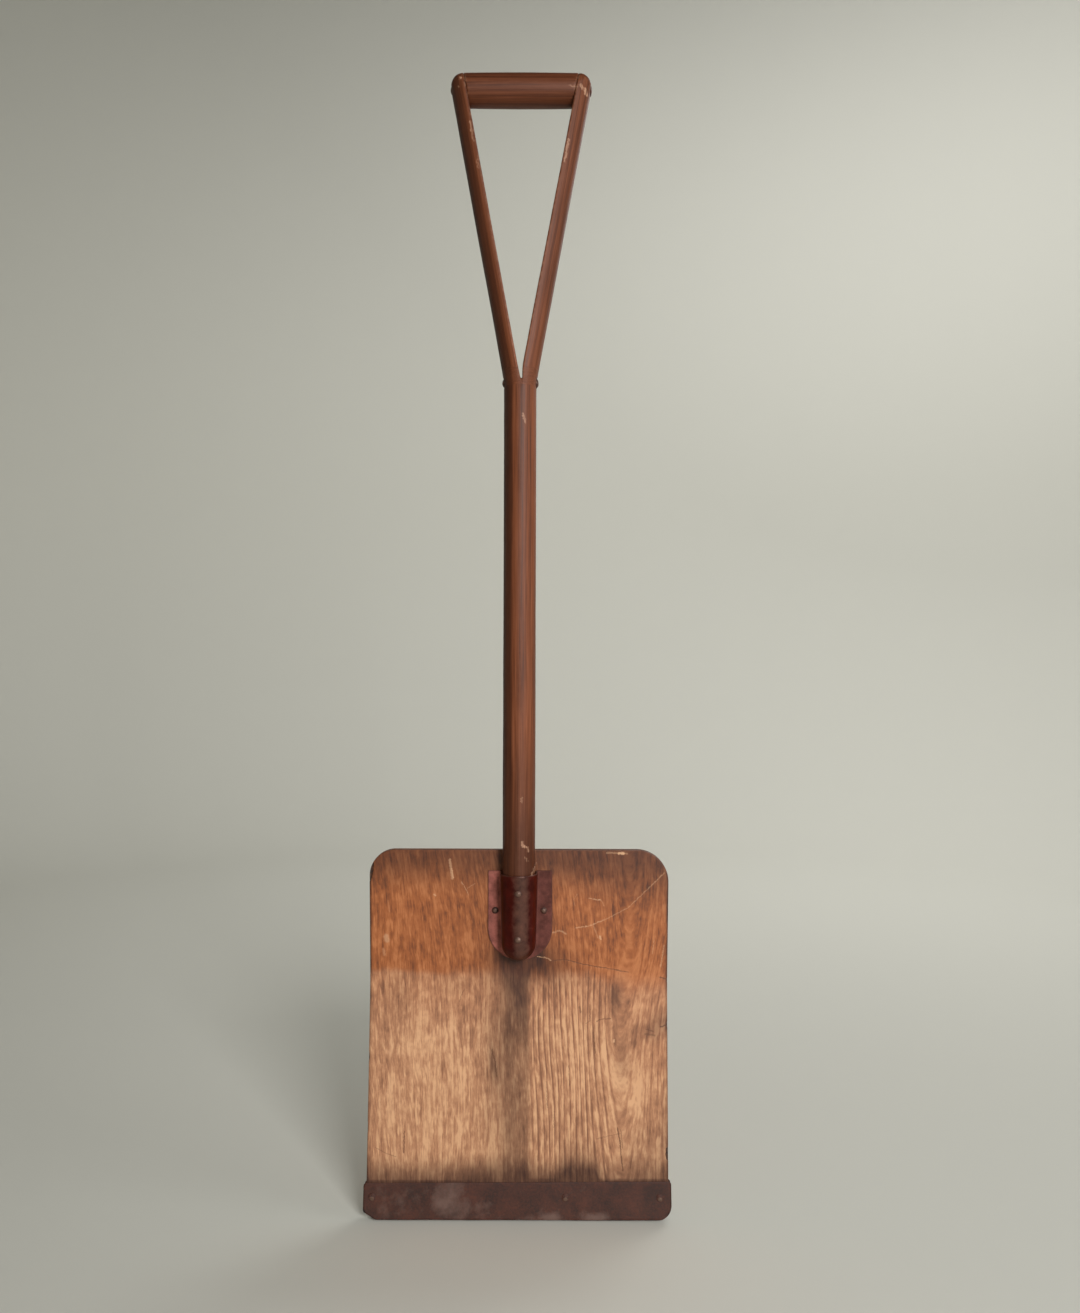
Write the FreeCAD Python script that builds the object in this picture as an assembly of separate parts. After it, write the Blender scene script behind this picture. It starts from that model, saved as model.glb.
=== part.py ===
import FreeCAD, Part
import math
import os

from FreeCAD import Placement, Rotation, Vector

# Grain scoop shovel: a plywood blade shod with steel along its lip, a round ash shaft held to the blade's
# face by a pressed steel socket, and the shaft's upper end split into two arms that carry a cross grip.
# Millimetres. +Z runs up the shaft, -Y is the side the blade faces, and the origin is the grip's centre.

# --- Handle ---
shaft_diameter = 38.0
shaft_end_diameter = 36.0  # where the shaft's rounded end sits in the socket
neck_length = 552.0  # bottom of the fork down to the blade's top edge
fork_height = 342.0  # bottom of the fork up to the grip's axis
fork_bend_radius = 150.0
fork_split_depth = 22.0  # the saw split that runs on below the fork
fork_split_width = 0.8
arm_top_thickness = 17.3
arm_corner_radius = 14.0
seat_flat_depth = 1.5  # flat shaved on the shaft's back, where it beds on the blade

# --- Grip ---
grip_diameter = 37.5
grip_length = 129.0  # between the arms, along the grip's axis
grip_swell = 0.6  # how much fuller the grip is in the middle

# --- Blade ---
blade_length = 416.0  # along the bent sheet
blade_top_width = 355.0
blade_lip_width = 345.0
bend_clearance = 3.0  # flat sheet left between the socket's foot and the bend
blade_bend_radius = 260.0
blade_bend_angle = 10.0
blade_left_corner_radius = 31.0
blade_right_corner_radius = 38.0
face_veneer_thickness = 2.5
core_ply_thickness = 4.5
back_veneer_thickness = 2.5
chip_drop = 26.0  # a splinter missing from the face veneer's left edge, below the corner
chip_length = 21.0
chip_depth = 3.5
nick_drop = 346.0  # a small nick in the face veneer's right edge, above the lip
nick_length = 16.0
nick_depth = 3.0

# --- Socket and the plate behind the blade ---
socket_sheet = 2.0
socket_drop = 24.0  # below the blade's top edge
socket_length = 101.5  # from the mouth to the dome's foot
socket_mouth_gap = 1.0  # round the shaft at the socket's mouth
socket_left_flange = 14.5
socket_right_flange = 17.5
socket_foot_flange = 4.0  # below the dome's foot
socket_fillet = 2.5
back_plate_sheet = 2.0
back_plate_side = 16.0  # beyond the shaft, each side
back_plate_foot = 5.0  # below the dome's foot
back_plate_corner_radius = 4.0
foot_flat = 2.0  # straight stretch between the two round corners at a flange's or plate's foot

# --- Edge band ---
band_sheet = 1.2
band_overhang = 3.5  # beyond the blade's lip, each side
band_left_height = 38.0
band_right_height = 40.5
band_top_radius = 3.0
lip_cut_width = 15.0  # left lip corner, cut off at a slant
lip_cut_height = 9.0
lip_corner_radius = 16.0  # right lip corner
lip_wood_clearance = 0.4  # wood inside the band's cut corners

# --- Rivets ---
rivet_fit = 0.05  # shank in its hole
socket_rivet_shank = 5.0
socket_rivet_head = 8.8
socket_rivet_rise = 2.2
socket_upper_rivet_drop = 20.0  # below the socket's mouth
socket_lower_rivet_drop = 73.0
flange_rivet_shank = 5.0
flange_rivet_head = 8.4
flange_rivet_rise = 1.8
flange_rivet_drop = 47.0
flange_left_rivet_gap = 6.0  # from the dome's side at the socket's mouth to the rivet's axis
flange_right_rivet_gap = 7.5
band_rivet_shank = 4.0
band_rivet_head = 8.6
band_rivet_rise = 1.2
band_rivet_drop = 16.0  # below the band's top edge
band_left_rivet_inset = 10.0  # from the band's end
band_inner_rivets = (-56.0, 55.0)
band_right_rivet_inset = 13.0
band_worn_rivet = 1  # this rivet's head has worn away, and its shank stands just under the steel
band_worn_depth = 0.3
tail_rise = 1.0  # hammered tail of a rivet, behind
rim_share = 0.25  # how much of a head's rise is its straight rim
grip_rivet_shank = 5.0
grip_rivet_head = 10.0
grip_rivet_rise = 2.2
grip_rivet_tail = 1.2
fork_rivet_shank = 5.0
fork_rivet_head = 10.0
fork_rivet_rise = 3.0
fork_rivet_tail = 2.2
fork_rivet_drop = 3.0  # below the bottom of the fork
burr_diameter = 12.0
burr_thickness = 1.2
seat_depth = 1.2  # flat sunk in the wood under a cross rivet's head or burr
seat_clearance = 0.3  # round the burr in its seat
head_bed = 0.8  # how deep a socket rivet's head is formed down over the round dome

# --- Places that follow from the sizes above ---
shaft_radius = shaft_diameter / 2
shaft_end_radius = shaft_end_diameter / 2
grip_radius = grip_diameter / 2
blade_thickness = face_veneer_thickness + core_ply_thickness + back_veneer_thickness
blade_flat_length = socket_drop + socket_length + max(socket_foot_flange, back_plate_foot) + bend_clearance
fork_z = -fork_height
blade_top_z = fork_z - neck_length
blade_face_y = shaft_radius - seat_flat_depth
blade_back_y = blade_face_y + blade_thickness
back_plate_back_y = blade_back_y + back_plate_sheet
socket_top_z = blade_top_z - socket_drop
socket_mouth_radius = shaft_radius + socket_mouth_gap + socket_sheet
socket_end_radius = shaft_end_radius + socket_sheet
flange_rivet_positions = (-socket_mouth_radius - flange_left_rivet_gap,
                          socket_mouth_radius + flange_right_rivet_gap)
socket_end_z = socket_top_z - socket_length + socket_end_radius
arm_slope = math.atan2(grip_length / 2, fork_height)  # inner faces, off the shaft's axis
arm_outer_x = grip_length / 2 + arm_top_thickness / math.cos(arm_slope)
arm_lean = math.atan2(arm_outer_x - shaft_radius, fork_height)  # outer sides, off the shaft's axis
arm_rise = fork_bend_radius * math.tan(arm_lean / 2)
fork_bend_z = fork_z - arm_rise
fork_rivet_z = fork_z - fork_rivet_drop
fork_rivet_rise_above_bend = max(fork_rivet_z - fork_bend_z, 0)
fork_side_x = fork_bend_radius - math.sqrt((fork_bend_radius - shaft_radius) ** 2
                                           - fork_rivet_rise_above_bend ** 2)

bend = math.radians(blade_bend_angle)
lower_length = blade_length - blade_flat_length - blade_bend_radius * bend
bend_end_y = blade_face_y - blade_bend_radius * (1 - math.cos(bend))
bend_end_z = blade_top_z - blade_flat_length - blade_bend_radius * math.sin(bend)
lip_y = bend_end_y - lower_length * math.sin(bend)
lip_z = bend_end_z - lower_length * math.cos(bend)
lip_frame = Placement(Vector(0, lip_y, lip_z), Rotation(Vector(1, 0, 0), -blade_bend_angle))
band_width = blade_lip_width + 2 * band_overhang
band_rivet_positions = (band_left_rivet_inset - band_width / 2, *band_inner_rivets,
                        band_width / 2 - band_right_rivet_inset)
band_rivet_height = (band_left_height + band_right_height) / 2 - band_rivet_drop

margin = 30.0  # how far a cutting solid runs past what it cuts
cut_allowance = 1.0  # how far a piece runs on into the cut that ends it


def rounded_outline(corners, to_point):
    """A closed wire through (across, up, radius) corners, each rounded to its radius."""
    edges = []
    ends = []
    count = len(corners)
    for i, (across, up, radius) in enumerate(corners):
        here = to_point(across, up)
        before = to_point(*corners[i - 1][:2]) - here
        after = to_point(*corners[(i + 1) % count][:2]) - here
        if radius == 0:
            ends.append((here, here))
            continue
        half = before.getAngle(after) / 2
        before.normalize()
        after.normalize()
        start = here + before * (radius / math.tan(half))
        end = here + after * (radius / math.tan(half))
        inward = (before + after).normalize()
        middle = here + inward * (radius / math.sin(half) - radius)
        edges.append((i, Part.Arc(start, middle, end).toShape()))
        ends.append((start, end))
    arcs = dict(edges)
    pieces = []
    for i in range(count):
        if i in arcs:
            pieces.append(arcs[i])
        pieces.append(Part.makeLine(ends[i][1], ends[(i + 1) % count][0]))
    return Part.Wire(pieces)


def front_prism(corners, front_y, back_y):
    """A solid with the given outline seen from the front, from front_y back to back_y."""
    wire = rounded_outline(corners, lambda x, z: Vector(x, front_y, z))
    return Part.Face(wire).extrude(Vector(0, back_y - front_y, 0))


def domed_disc(centre, axis, diameter, rise):
    """A low dome standing on a plane at centre, with a short straight rim: a rivet's head or tail."""
    radius = diameter / 2
    rim = rise * rim_share
    crown = rise - rim
    bow = (radius * radius + crown * crown) / (2 * crown)
    half_angle = math.asin(radius / bow) / 2
    middle = Vector(bow * math.sin(half_angle), 0, rise - bow + bow * math.cos(half_angle))
    arc = Part.Arc(Vector(0, 0, rise), middle, Vector(radius, 0, rim)).toShape()
    sides = Part.makePolygon([Vector(radius, 0, rim), Vector(radius, 0, 0), Vector(), Vector(0, 0, rise)])
    solid = Part.Face(Part.Wire([arc] + sides.Edges)).revolve(Vector(), Vector(0, 0, 1), 360)
    solid.Placement = Placement(centre, Rotation(Vector(0, 0, 1), axis))
    return solid


def rod(start, end, diameter):
    """A round bar from start to end."""
    return Part.makeCylinder(diameter / 2, (end - start).Length, start, end - start)


def rivet(head_seat, tail_seat, shank, head, rise, tail, tail_height):
    """A rivet closed from head_seat to tail_seat: domed head, shank, hammered tail."""
    way = (tail_seat - head_seat).normalize()
    body = rod(head_seat, tail_seat, shank)
    body = body.fuse(domed_disc(head_seat, way * -1, head, rise))
    return body.fuse(domed_disc(tail_seat, way, tail, tail_height)).removeSplitter()


def hole(start, end, shank):
    """The bore that a rivet's shank passes through, run out past both ends."""
    way = (end - start).normalize()
    return rod(start - way * margin, end + way * margin, shank + 2 * rivet_fit)


# --- Where each rivet stands ---
def socket_rivet_ends(drop):
    """From the top of the socket's dome to the back plate, at a drop below the socket's mouth."""
    z = socket_top_z - drop
    share = drop / (socket_top_z - socket_end_z)
    dome = socket_mouth_radius + (socket_end_radius - socket_mouth_radius) * share
    return Vector(0, -dome, z), Vector(0, back_plate_back_y, z)


def flange_rivet_ends(x):
    """From the socket's flange to the back plate."""
    z = socket_top_z - flange_rivet_drop
    return Vector(x, blade_face_y - socket_sheet, z), Vector(x, back_plate_back_y, z)


def band_rivet_ends(x):
    """Through the edge band and the blade's lip, square to the sheet."""
    front = lip_frame.multVec(Vector(x, -band_sheet, band_rivet_height))
    back = lip_frame.multVec(Vector(x, blade_thickness + band_sheet, band_rivet_height))
    return front, back


def fork_rivet_ends():
    """Across the shaft just below the fork, from seat to seat."""
    x = fork_side_x - seat_depth
    return Vector(-x, 0, fork_rivet_z), Vector(x, 0, fork_rivet_z)


def grip_rivet_ends():
    """Along the grip's axis, from one arm's outer seat to the other's."""
    x = arm_outer_x - seat_depth
    return Vector(-x, 0, 0), Vector(x, 0, 0)


def sunk_seats(ends):
    """The flats sunk in the wood at both ends of a cross rivet."""
    left, right = ends
    diameter = burr_diameter + 2 * seat_clearance
    outwards = (right - left).normalize() * margin
    return rod(left, left - outwards, diameter).fuse(rod(right, right + outwards, diameter))


# --- Handle ---
def arm_rod(side):
    """One arm before it is split: the shaft's round bent outwards, then straight up past the grip."""
    centre = Vector(side * fork_bend_radius, 0, fork_bend_z)
    disc = Part.Face(Part.Wire(Part.makeCircle(shaft_radius, Vector(0, 0, fork_bend_z), Vector(0, 0, 1))))
    elbow = disc.revolve(centre, Vector(0, side, 0), math.degrees(arm_lean))
    start = Vector(side * fork_bend_radius * (1 - math.cos(arm_lean)), 0,
                   fork_bend_z + fork_bend_radius * math.sin(arm_lean))
    way = Vector(side * math.sin(arm_lean), 0, math.cos(arm_lean))
    length = (grip_radius + margin - start.z) / math.cos(arm_lean)
    return elbow.fuse(Part.makeCylinder(shaft_radius, length, start, way))


def fork_wedge():
    """The open space between the arms, bounded by their flat inner faces."""
    top = grip_radius + 2 * margin
    half = (top - fork_z) * math.tan(arm_slope)
    return front_prism([(0, fork_z, 0), (half, top, 0), (-half, top, 0)], -grip_diameter, grip_diameter)


def arm_end_envelope():
    """Rounds the arms' ends to the grip's own round, with a softened outer corner, above its axis."""
    flat = grip_radius - arm_corner_radius
    bend_x = arm_outer_x - arm_corner_radius
    diagonal = arm_corner_radius * math.sqrt(0.5)
    arc = Part.Arc(Vector(bend_x, 0, grip_radius), Vector(bend_x + diagonal, 0, flat + diagonal),
                   Vector(arm_outer_x, 0, flat)).toShape()
    sides = Part.makePolygon([Vector(arm_outer_x, 0, flat), Vector(arm_outer_x, 0, 0), Vector(),
                              Vector(0, 0, grip_radius), Vector(bend_x, 0, grip_radius)])
    right = Part.Face(Part.Wire([arc] + sides.Edges)).revolve(Vector(), Vector(1, 0, 0), 360)
    left = right.mirror(Vector(), Vector(1, 0, 0))
    below = Part.makeBox(4 * arm_outer_x, 4 * shaft_diameter, 2 * fork_height,
                         Vector(-2 * arm_outer_x, -2 * shaft_diameter, -2 * fork_height))
    return right.fuse(left).fuse(below)


def shaft_body():
    """The round shaft from the fork's bend down to its tapered, rounded end in the socket."""
    middle = Vector(shaft_end_radius * math.sqrt(0.5), 0, socket_end_z - shaft_end_radius * math.sqrt(0.5))
    arc = Part.Arc(Vector(0, 0, socket_end_z - shaft_end_radius), middle,
                   Vector(shaft_end_radius, 0, socket_end_z)).toShape()
    sides = Part.makePolygon([Vector(shaft_end_radius, 0, socket_end_z),
                              Vector(shaft_radius, 0, socket_top_z),
                              Vector(shaft_radius, 0, fork_bend_z), Vector(0, 0, fork_bend_z),
                              Vector(0, 0, socket_end_z - shaft_end_radius)])
    return Part.Face(Part.Wire([arc] + sides.Edges)).revolve(Vector(), Vector(0, 0, 1), 360)


def make_handle():
    """Shaft and arms in one piece of ash, split at the top and bored for its rivets."""
    arms = arm_rod(1).fuse(arm_rod(-1)).cut(fork_wedge()).common(arm_end_envelope())
    handle = arms.fuse(shaft_body())
    split = Part.makeBox(fork_split_width, 2 * shaft_diameter, fork_split_depth + cut_allowance,
                         Vector(-fork_split_width / 2, -shaft_diameter, fork_z - fork_split_depth))
    behind = Part.makeBox(4 * shaft_radius, shaft_radius, -socket_end_z + blade_top_z + margin,
                          Vector(-2 * shaft_radius, blade_face_y, socket_end_z - margin))
    handle = handle.cut(split).cut(behind)
    for drop in (socket_upper_rivet_drop, socket_lower_rivet_drop):
        handle = handle.cut(hole(*socket_rivet_ends(drop), socket_rivet_shank))
    for ends, shank in ((fork_rivet_ends(), fork_rivet_shank), (grip_rivet_ends(), grip_rivet_shank)):
        handle = handle.cut(hole(*ends, shank)).cut(sunk_seats(ends))
    return handle.removeSplitter()


def make_grip():
    """The turned cross grip, slightly fuller in the middle, its ends cut to the arms' inner faces."""
    reach = grip_length / 2 + grip_radius * math.tan(arm_slope) + cut_allowance
    crown = Part.Arc(Vector(-reach, 0, grip_radius), Vector(0, 0, grip_radius + grip_swell),
                     Vector(reach, 0, grip_radius)).toShape()
    sides = Part.makePolygon([Vector(reach, 0, grip_radius), Vector(reach, 0, 0), Vector(-reach, 0, 0),
                              Vector(-reach, 0, grip_radius)])
    bar = Part.Face(Part.Wire([crown] + sides.Edges)).revolve(Vector(), Vector(1, 0, 0), 360)
    return bar.common(fork_wedge()).cut(hole(*grip_rivet_ends(), grip_rivet_shank))


# --- Blade ---
def sheet_slab(front, back):
    """The bent blade's slab between two depths behind its face, from its top edge to its lip."""
    def at(depth, angle):
        radius = blade_bend_radius + depth
        return Vector(0, blade_face_y - blade_bend_radius + radius * math.cos(angle),
                      blade_top_z - blade_flat_length - radius * math.sin(angle))

    down = Vector(0, -math.sin(bend), -math.cos(bend)) * lower_length
    front_top = Vector(0, blade_face_y + front, blade_top_z)
    back_top = Vector(0, blade_face_y + back, blade_top_z)
    edges = [
        Part.makeLine(front_top, at(front, 0)),
        Part.Arc(at(front, 0), at(front, bend / 2), at(front, bend)).toShape(),
        Part.makeLine(at(front, bend), at(front, bend) + down),
        Part.makeLine(at(front, bend) + down, at(back, bend) + down),
        Part.makeLine(at(back, bend) + down, at(back, bend)),
        Part.Arc(at(back, bend), at(back, bend / 2), at(back, 0)).toShape(),
        Part.makeLine(at(back, 0), back_top),
        Part.makeLine(back_top, front_top),
    ]
    slab = Part.Face(Part.Wire(edges)).extrude(Vector(2 * blade_top_width, 0, 0))
    slab.translate(Vector(-blade_top_width, 0, 0))
    return slab


def blade_outline():
    """The blade's outline from the front: rounded top corners, and sides that close in towards the lip."""
    drop = blade_thickness  # the outline runs on below the lip, so that only the lip's own end shows
    return [
        (-blade_top_width / 2, blade_top_z, blade_left_corner_radius),
        (-blade_lip_width / 2, lip_z - drop, 0),
        (blade_lip_width / 2, lip_z - drop, 0),
        (blade_top_width / 2, blade_top_z, blade_right_corner_radius),
    ]


def lip_corner_trim(width, clearance):
    """What is taken off the lip's two corners, in the lip's own frame, for a sheet of this width."""
    half = width / 2
    tall = band_left_height
    low = Vector(-half + clearance + lip_cut_width, 0, -band_sheet)
    high = Vector(-half + clearance, 0, -band_sheet + lip_cut_height)
    run_out = (high - low).normalize() * margin
    cut = [(low.x - run_out.x, low.z - run_out.z, 0), (high.x + run_out.x, high.z + run_out.z, 0),
           (high.x - margin, low.z - margin, 0)]
    radius = lip_corner_radius
    corner = Vector(half - clearance - radius, 0, -band_sheet + radius)
    block = front_prism([(corner.x, corner.z, 0), (corner.x, corner.z - margin, 0),
                         (corner.x + margin, corner.z - margin, 0), (corner.x + margin, corner.z, 0)],
                        -tall, tall)
    pillar = Part.makeCylinder(radius, 2 * tall, corner - Vector(0, tall, 0), Vector(0, 1, 0))
    return front_prism(cut, -tall, tall), block.cut(pillar)


def in_lip_frame(shape):
    """Moves a shape drawn at the origin onto the blade's lip."""
    placed = shape.copy()
    placed.Placement = lip_frame.multiply(placed.Placement)
    return placed


def edge_bite(x, z, length, depth):
    """A shallow bite out of a side edge: a round cutter that enters by depth over a length."""
    radius = length * length / (8 * depth) + depth / 2
    side = math.copysign(1, x)
    start = Vector(x + side * (radius - depth), lip_y - margin, z)
    return Part.makeCylinder(radius, back_plate_back_y - lip_y + 2 * margin, start, Vector(0, 1, 0))


def side_x(z):
    """Half the blade's width at a height."""
    share = (blade_top_z - z) / (blade_top_z - lip_z + blade_thickness)
    return (blade_top_width + (blade_lip_width - blade_top_width) * share) / 2


def make_ply(front, back):
    """One layer of the blade, trimmed to the outline and bored for every rivet through it."""
    ply = sheet_slab(front, back)
    ply = ply.common(front_prism(blade_outline(), lip_y - margin, back_plate_back_y + margin))
    for trim in lip_corner_trim(band_width, lip_wood_clearance + band_sheet):
        ply = ply.cut(in_lip_frame(trim))
    for drop in (socket_upper_rivet_drop, socket_lower_rivet_drop):
        ply = ply.cut(hole(*socket_rivet_ends(drop), socket_rivet_shank))
    for x in flange_rivet_positions:
        ply = ply.cut(hole(*flange_rivet_ends(x), flange_rivet_shank))
    for x in band_rivet_positions:
        ply = ply.cut(hole(*band_rivet_ends(x), band_rivet_shank))
    return ply


def make_face_veneer():
    """The face veneer, with the splinter and the nick lost from its edges."""
    veneer = make_ply(0, face_veneer_thickness)
    chip_z = blade_top_z - chip_drop
    nick_z = blade_top_z - nick_drop
    veneer = veneer.cut(edge_bite(-side_x(chip_z), chip_z, chip_length, chip_depth))
    return veneer.cut(edge_bite(side_x(nick_z), nick_z, nick_length, nick_depth))


# --- Socket ---
def dome_half(mouth, end):
    """The socket's long dome, or the hollow in it: round over the shaft, straight down to the blade."""
    middle = end * math.sqrt(0.5)
    top = socket_top_z
    arc = Part.Arc(Vector(end, 0, socket_end_z), Vector(middle, 0, socket_end_z - middle),
                   Vector(0, 0, socket_end_z - end)).toShape()
    sides = Part.makePolygon([Vector(0, 0, socket_end_z - end), Vector(0, 0, top), Vector(mouth, 0, top),
                              Vector(end, 0, socket_end_z)])
    crown = Part.Face(Part.Wire([arc] + sides.Edges)).revolve(Vector(), Vector(0, 0, 1), -180)
    foot = Part.Arc(Vector(end, 0, socket_end_z), Vector(0, 0, socket_end_z - end),
                    Vector(-end, 0, socket_end_z)).toShape()
    rim = Part.makePolygon([Vector(-end, 0, socket_end_z), Vector(-mouth, 0, top), Vector(mouth, 0, top),
                            Vector(end, 0, socket_end_z)])
    skirt = Part.Face(Part.Wire([foot] + rim.Edges)).extrude(Vector(0, blade_face_y, 0))
    return crown.fuse(skirt).removeSplitter()


def flange_outline():
    """The flange from the front: square at the mouth, round under the dome."""
    left = -socket_mouth_radius - socket_left_flange
    right = socket_mouth_radius + socket_right_flange
    foot = socket_end_z - socket_end_radius - socket_foot_flange
    round_foot = (right - left - foot_flat) / 2
    return [(left, socket_top_z, 0), (left, foot, round_foot), (right, foot, round_foot),
            (right, socket_top_z, 0)]


def make_socket():
    """The pressed socket: flange on the blade's face, dome over the shaft's end, filleted between."""
    flange_y = blade_face_y - socket_sheet
    flange = front_prism(flange_outline(), flange_y, blade_face_y)
    body = dome_half(socket_mouth_radius, socket_end_radius).fuse(flange).removeSplitter()
    inside = [e for e in body.Edges if abs(e.CenterOfMass.y - flange_y) < 0.01
              and all(abs(v.Point.x) < socket_mouth_radius + 0.01 for v in e.Vertexes)
              and e.BoundBox.ZMax < socket_top_z + 0.01 and e.BoundBox.ZLength > 0.01]
    body = body.makeFillet(socket_fillet, inside)
    hollow = dome_half(socket_mouth_radius - socket_sheet, shaft_end_radius)
    socket = body.cut(hollow)
    for drop in (socket_upper_rivet_drop, socket_lower_rivet_drop):
        socket = socket.cut(hole(*socket_rivet_ends(drop), socket_rivet_shank))
    for x in flange_rivet_positions:
        socket = socket.cut(hole(*flange_rivet_ends(x), flange_rivet_shank))
    return socket


def make_back_plate():
    """The flat steel plate behind the blade that the socket's rivets are closed on."""
    half = shaft_radius + back_plate_side
    foot = socket_end_z - socket_end_radius - back_plate_foot
    round_foot = half - foot_flat / 2
    corners = [(-half, socket_top_z, back_plate_corner_radius), (-half, foot, round_foot),
               (half, foot, round_foot), (half, socket_top_z, back_plate_corner_radius)]
    plate = front_prism(corners, blade_back_y, back_plate_back_y)
    for drop in (socket_upper_rivet_drop, socket_lower_rivet_drop):
        plate = plate.cut(hole(*socket_rivet_ends(drop), socket_rivet_shank))
    for x in flange_rivet_positions:
        plate = plate.cut(hole(*flange_rivet_ends(x), flange_rivet_shank))
    return plate


# --- Edge band ---
def make_edge_band():
    """The steel strip folded round the lip, its top edge a little higher at the right."""
    tallest = max(band_left_height, band_right_height)
    outer = Part.makeBox(band_width, blade_thickness + 2 * band_sheet, tallest + 2 * band_sheet,
                         Vector(-band_width / 2, -band_sheet, -band_sheet))
    folds = [e for e in outer.Edges if abs(e.CenterOfMass.z + band_sheet) < 0.01 and e.BoundBox.XLength > 1]
    outer = outer.makeFillet(band_sheet, folds)
    gap = Part.makeBox(2 * band_width, blade_thickness, tallest + margin, Vector(-band_width, 0, 0))
    half = band_width / 2
    corners = [(-half, -margin, 0), (half, -margin, 0), (half, band_right_height, band_top_radius),
               (-half, band_left_height, band_top_radius)]
    band = outer.cut(gap).common(front_prism(corners, -margin, margin))
    for trim in lip_corner_trim(band_width, 0):
        band = band.cut(trim)
    band = in_lip_frame(band)
    for x in band_rivet_positions:
        band = band.cut(hole(*band_rivet_ends(x), band_rivet_shank))
    return band


# --- Rivets ---
def make_band_rivet(index):
    """One rivet of the edge band. The worn one has lost its head."""
    front, back = band_rivet_ends(band_rivet_positions[index])
    if index != band_worn_rivet:
        return rivet(front, back, band_rivet_shank, band_rivet_head, band_rivet_rise, band_rivet_head,
                     tail_rise)
    way = (back - front).normalize()
    shank = rod(front + way * band_worn_depth, back, band_rivet_shank)
    return shank.fuse(domed_disc(back, way, band_rivet_head, tail_rise)).removeSplitter()


def make_socket_rivet(drop, socket):
    """A rivet through the dome, shaft, blade and back plate, its head formed down onto the dome."""
    front, back = socket_rivet_ends(drop)
    way = (back - front).normalize()
    bedded = rivet(front + way * head_bed, back, socket_rivet_shank, socket_rivet_head,
                   socket_rivet_rise + head_bed, socket_rivet_head, tail_rise)
    return bedded.cut(socket)


def make_burr(seat, way, shank):
    """A washer that a rivet's tail is hammered over."""
    burr = rod(seat, seat + way * burr_thickness, burr_diameter)
    return burr.cut(hole(seat, seat + way * burr_thickness, shank))


def cross_rivet(ends, shank, head, rise, tail):
    """A long rivet across the handle with its tail closed over a burr on the right."""
    left, right = ends
    return rivet(left, right + Vector(burr_thickness, 0, 0), shank, head, rise, head, tail)


def build_parts():
    """Every piece of the shovel, by node name."""
    core_front = face_veneer_thickness
    core_back = face_veneer_thickness + core_ply_thickness
    parts = {
        "handle": make_handle(),
        "grip": make_grip(),
        "blade_face_veneer": make_face_veneer(),
        "blade_core_ply": make_ply(core_front, core_back),
        "blade_back_veneer": make_ply(core_back, blade_thickness),
        "socket": make_socket(),
        "back_plate": make_back_plate(),
        "edge_band": make_edge_band(),
        "grip_rivet": cross_rivet(grip_rivet_ends(), grip_rivet_shank, grip_rivet_head, grip_rivet_rise,
                                  grip_rivet_tail),
        "grip_rivet_burr": make_burr(grip_rivet_ends()[1], Vector(1, 0, 0), grip_rivet_shank),
        "fork_rivet": cross_rivet(fork_rivet_ends(), fork_rivet_shank, fork_rivet_head, fork_rivet_rise,
                                  fork_rivet_tail),
        "fork_rivet_burr": make_burr(fork_rivet_ends()[1], Vector(1, 0, 0), fork_rivet_shank),
    }
    for name, drop in (("upper", socket_upper_rivet_drop), ("lower", socket_lower_rivet_drop)):
        parts[f"socket_rivet_{name}"] = make_socket_rivet(drop, parts["socket"])
    for name, x in zip(("left", "right"), flange_rivet_positions):
        ends = flange_rivet_ends(x)
        parts[f"flange_rivet_{name}"] = rivet(*ends, flange_rivet_shank, flange_rivet_head, flange_rivet_rise,
                                              flange_rivet_head, tail_rise)
    for index in range(len(band_rivet_positions)):
        parts[f"band_rivet_{index + 1}"] = make_band_rivet(index)
    return parts


os.makedirs("parts", exist_ok=True)
for name, shape in build_parts().items():
    shape.exportStep(f"parts/{name}.step")
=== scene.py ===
import math

import bmesh
import bpy
import numpy as np
from bpy.props import FloatProperty, FloatVectorProperty, PointerProperty
from mathutils import Matrix, Vector, noise


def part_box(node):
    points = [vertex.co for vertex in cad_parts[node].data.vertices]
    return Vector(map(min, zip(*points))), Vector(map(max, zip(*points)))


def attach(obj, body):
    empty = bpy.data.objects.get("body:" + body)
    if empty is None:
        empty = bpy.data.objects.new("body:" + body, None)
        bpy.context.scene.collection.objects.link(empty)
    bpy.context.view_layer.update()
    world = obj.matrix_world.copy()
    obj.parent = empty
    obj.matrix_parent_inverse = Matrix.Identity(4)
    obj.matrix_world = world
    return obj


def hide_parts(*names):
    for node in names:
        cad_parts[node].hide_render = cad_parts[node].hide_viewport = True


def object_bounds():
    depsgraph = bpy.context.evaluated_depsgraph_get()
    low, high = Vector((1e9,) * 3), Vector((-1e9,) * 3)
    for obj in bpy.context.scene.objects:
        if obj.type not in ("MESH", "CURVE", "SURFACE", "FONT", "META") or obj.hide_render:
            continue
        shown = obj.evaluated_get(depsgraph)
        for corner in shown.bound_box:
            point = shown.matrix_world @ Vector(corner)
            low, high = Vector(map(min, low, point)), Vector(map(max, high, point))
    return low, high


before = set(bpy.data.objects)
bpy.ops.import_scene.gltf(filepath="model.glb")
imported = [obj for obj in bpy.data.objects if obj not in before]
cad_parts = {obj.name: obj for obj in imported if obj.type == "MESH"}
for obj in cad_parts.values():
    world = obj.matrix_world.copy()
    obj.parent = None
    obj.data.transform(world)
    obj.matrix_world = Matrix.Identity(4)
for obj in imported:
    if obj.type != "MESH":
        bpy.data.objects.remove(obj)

bl_info = {
    "name": "Grain Scoop Shovel",
    "version": (1, 0, 0),
    "blender": (4, 5, 0),
    "location": "View3D > Sidebar > Shovel",
    "description": "Wood, plywood, painted and rusted steel for an old grain scoop shovel",
    "category": "Object",
}

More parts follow.
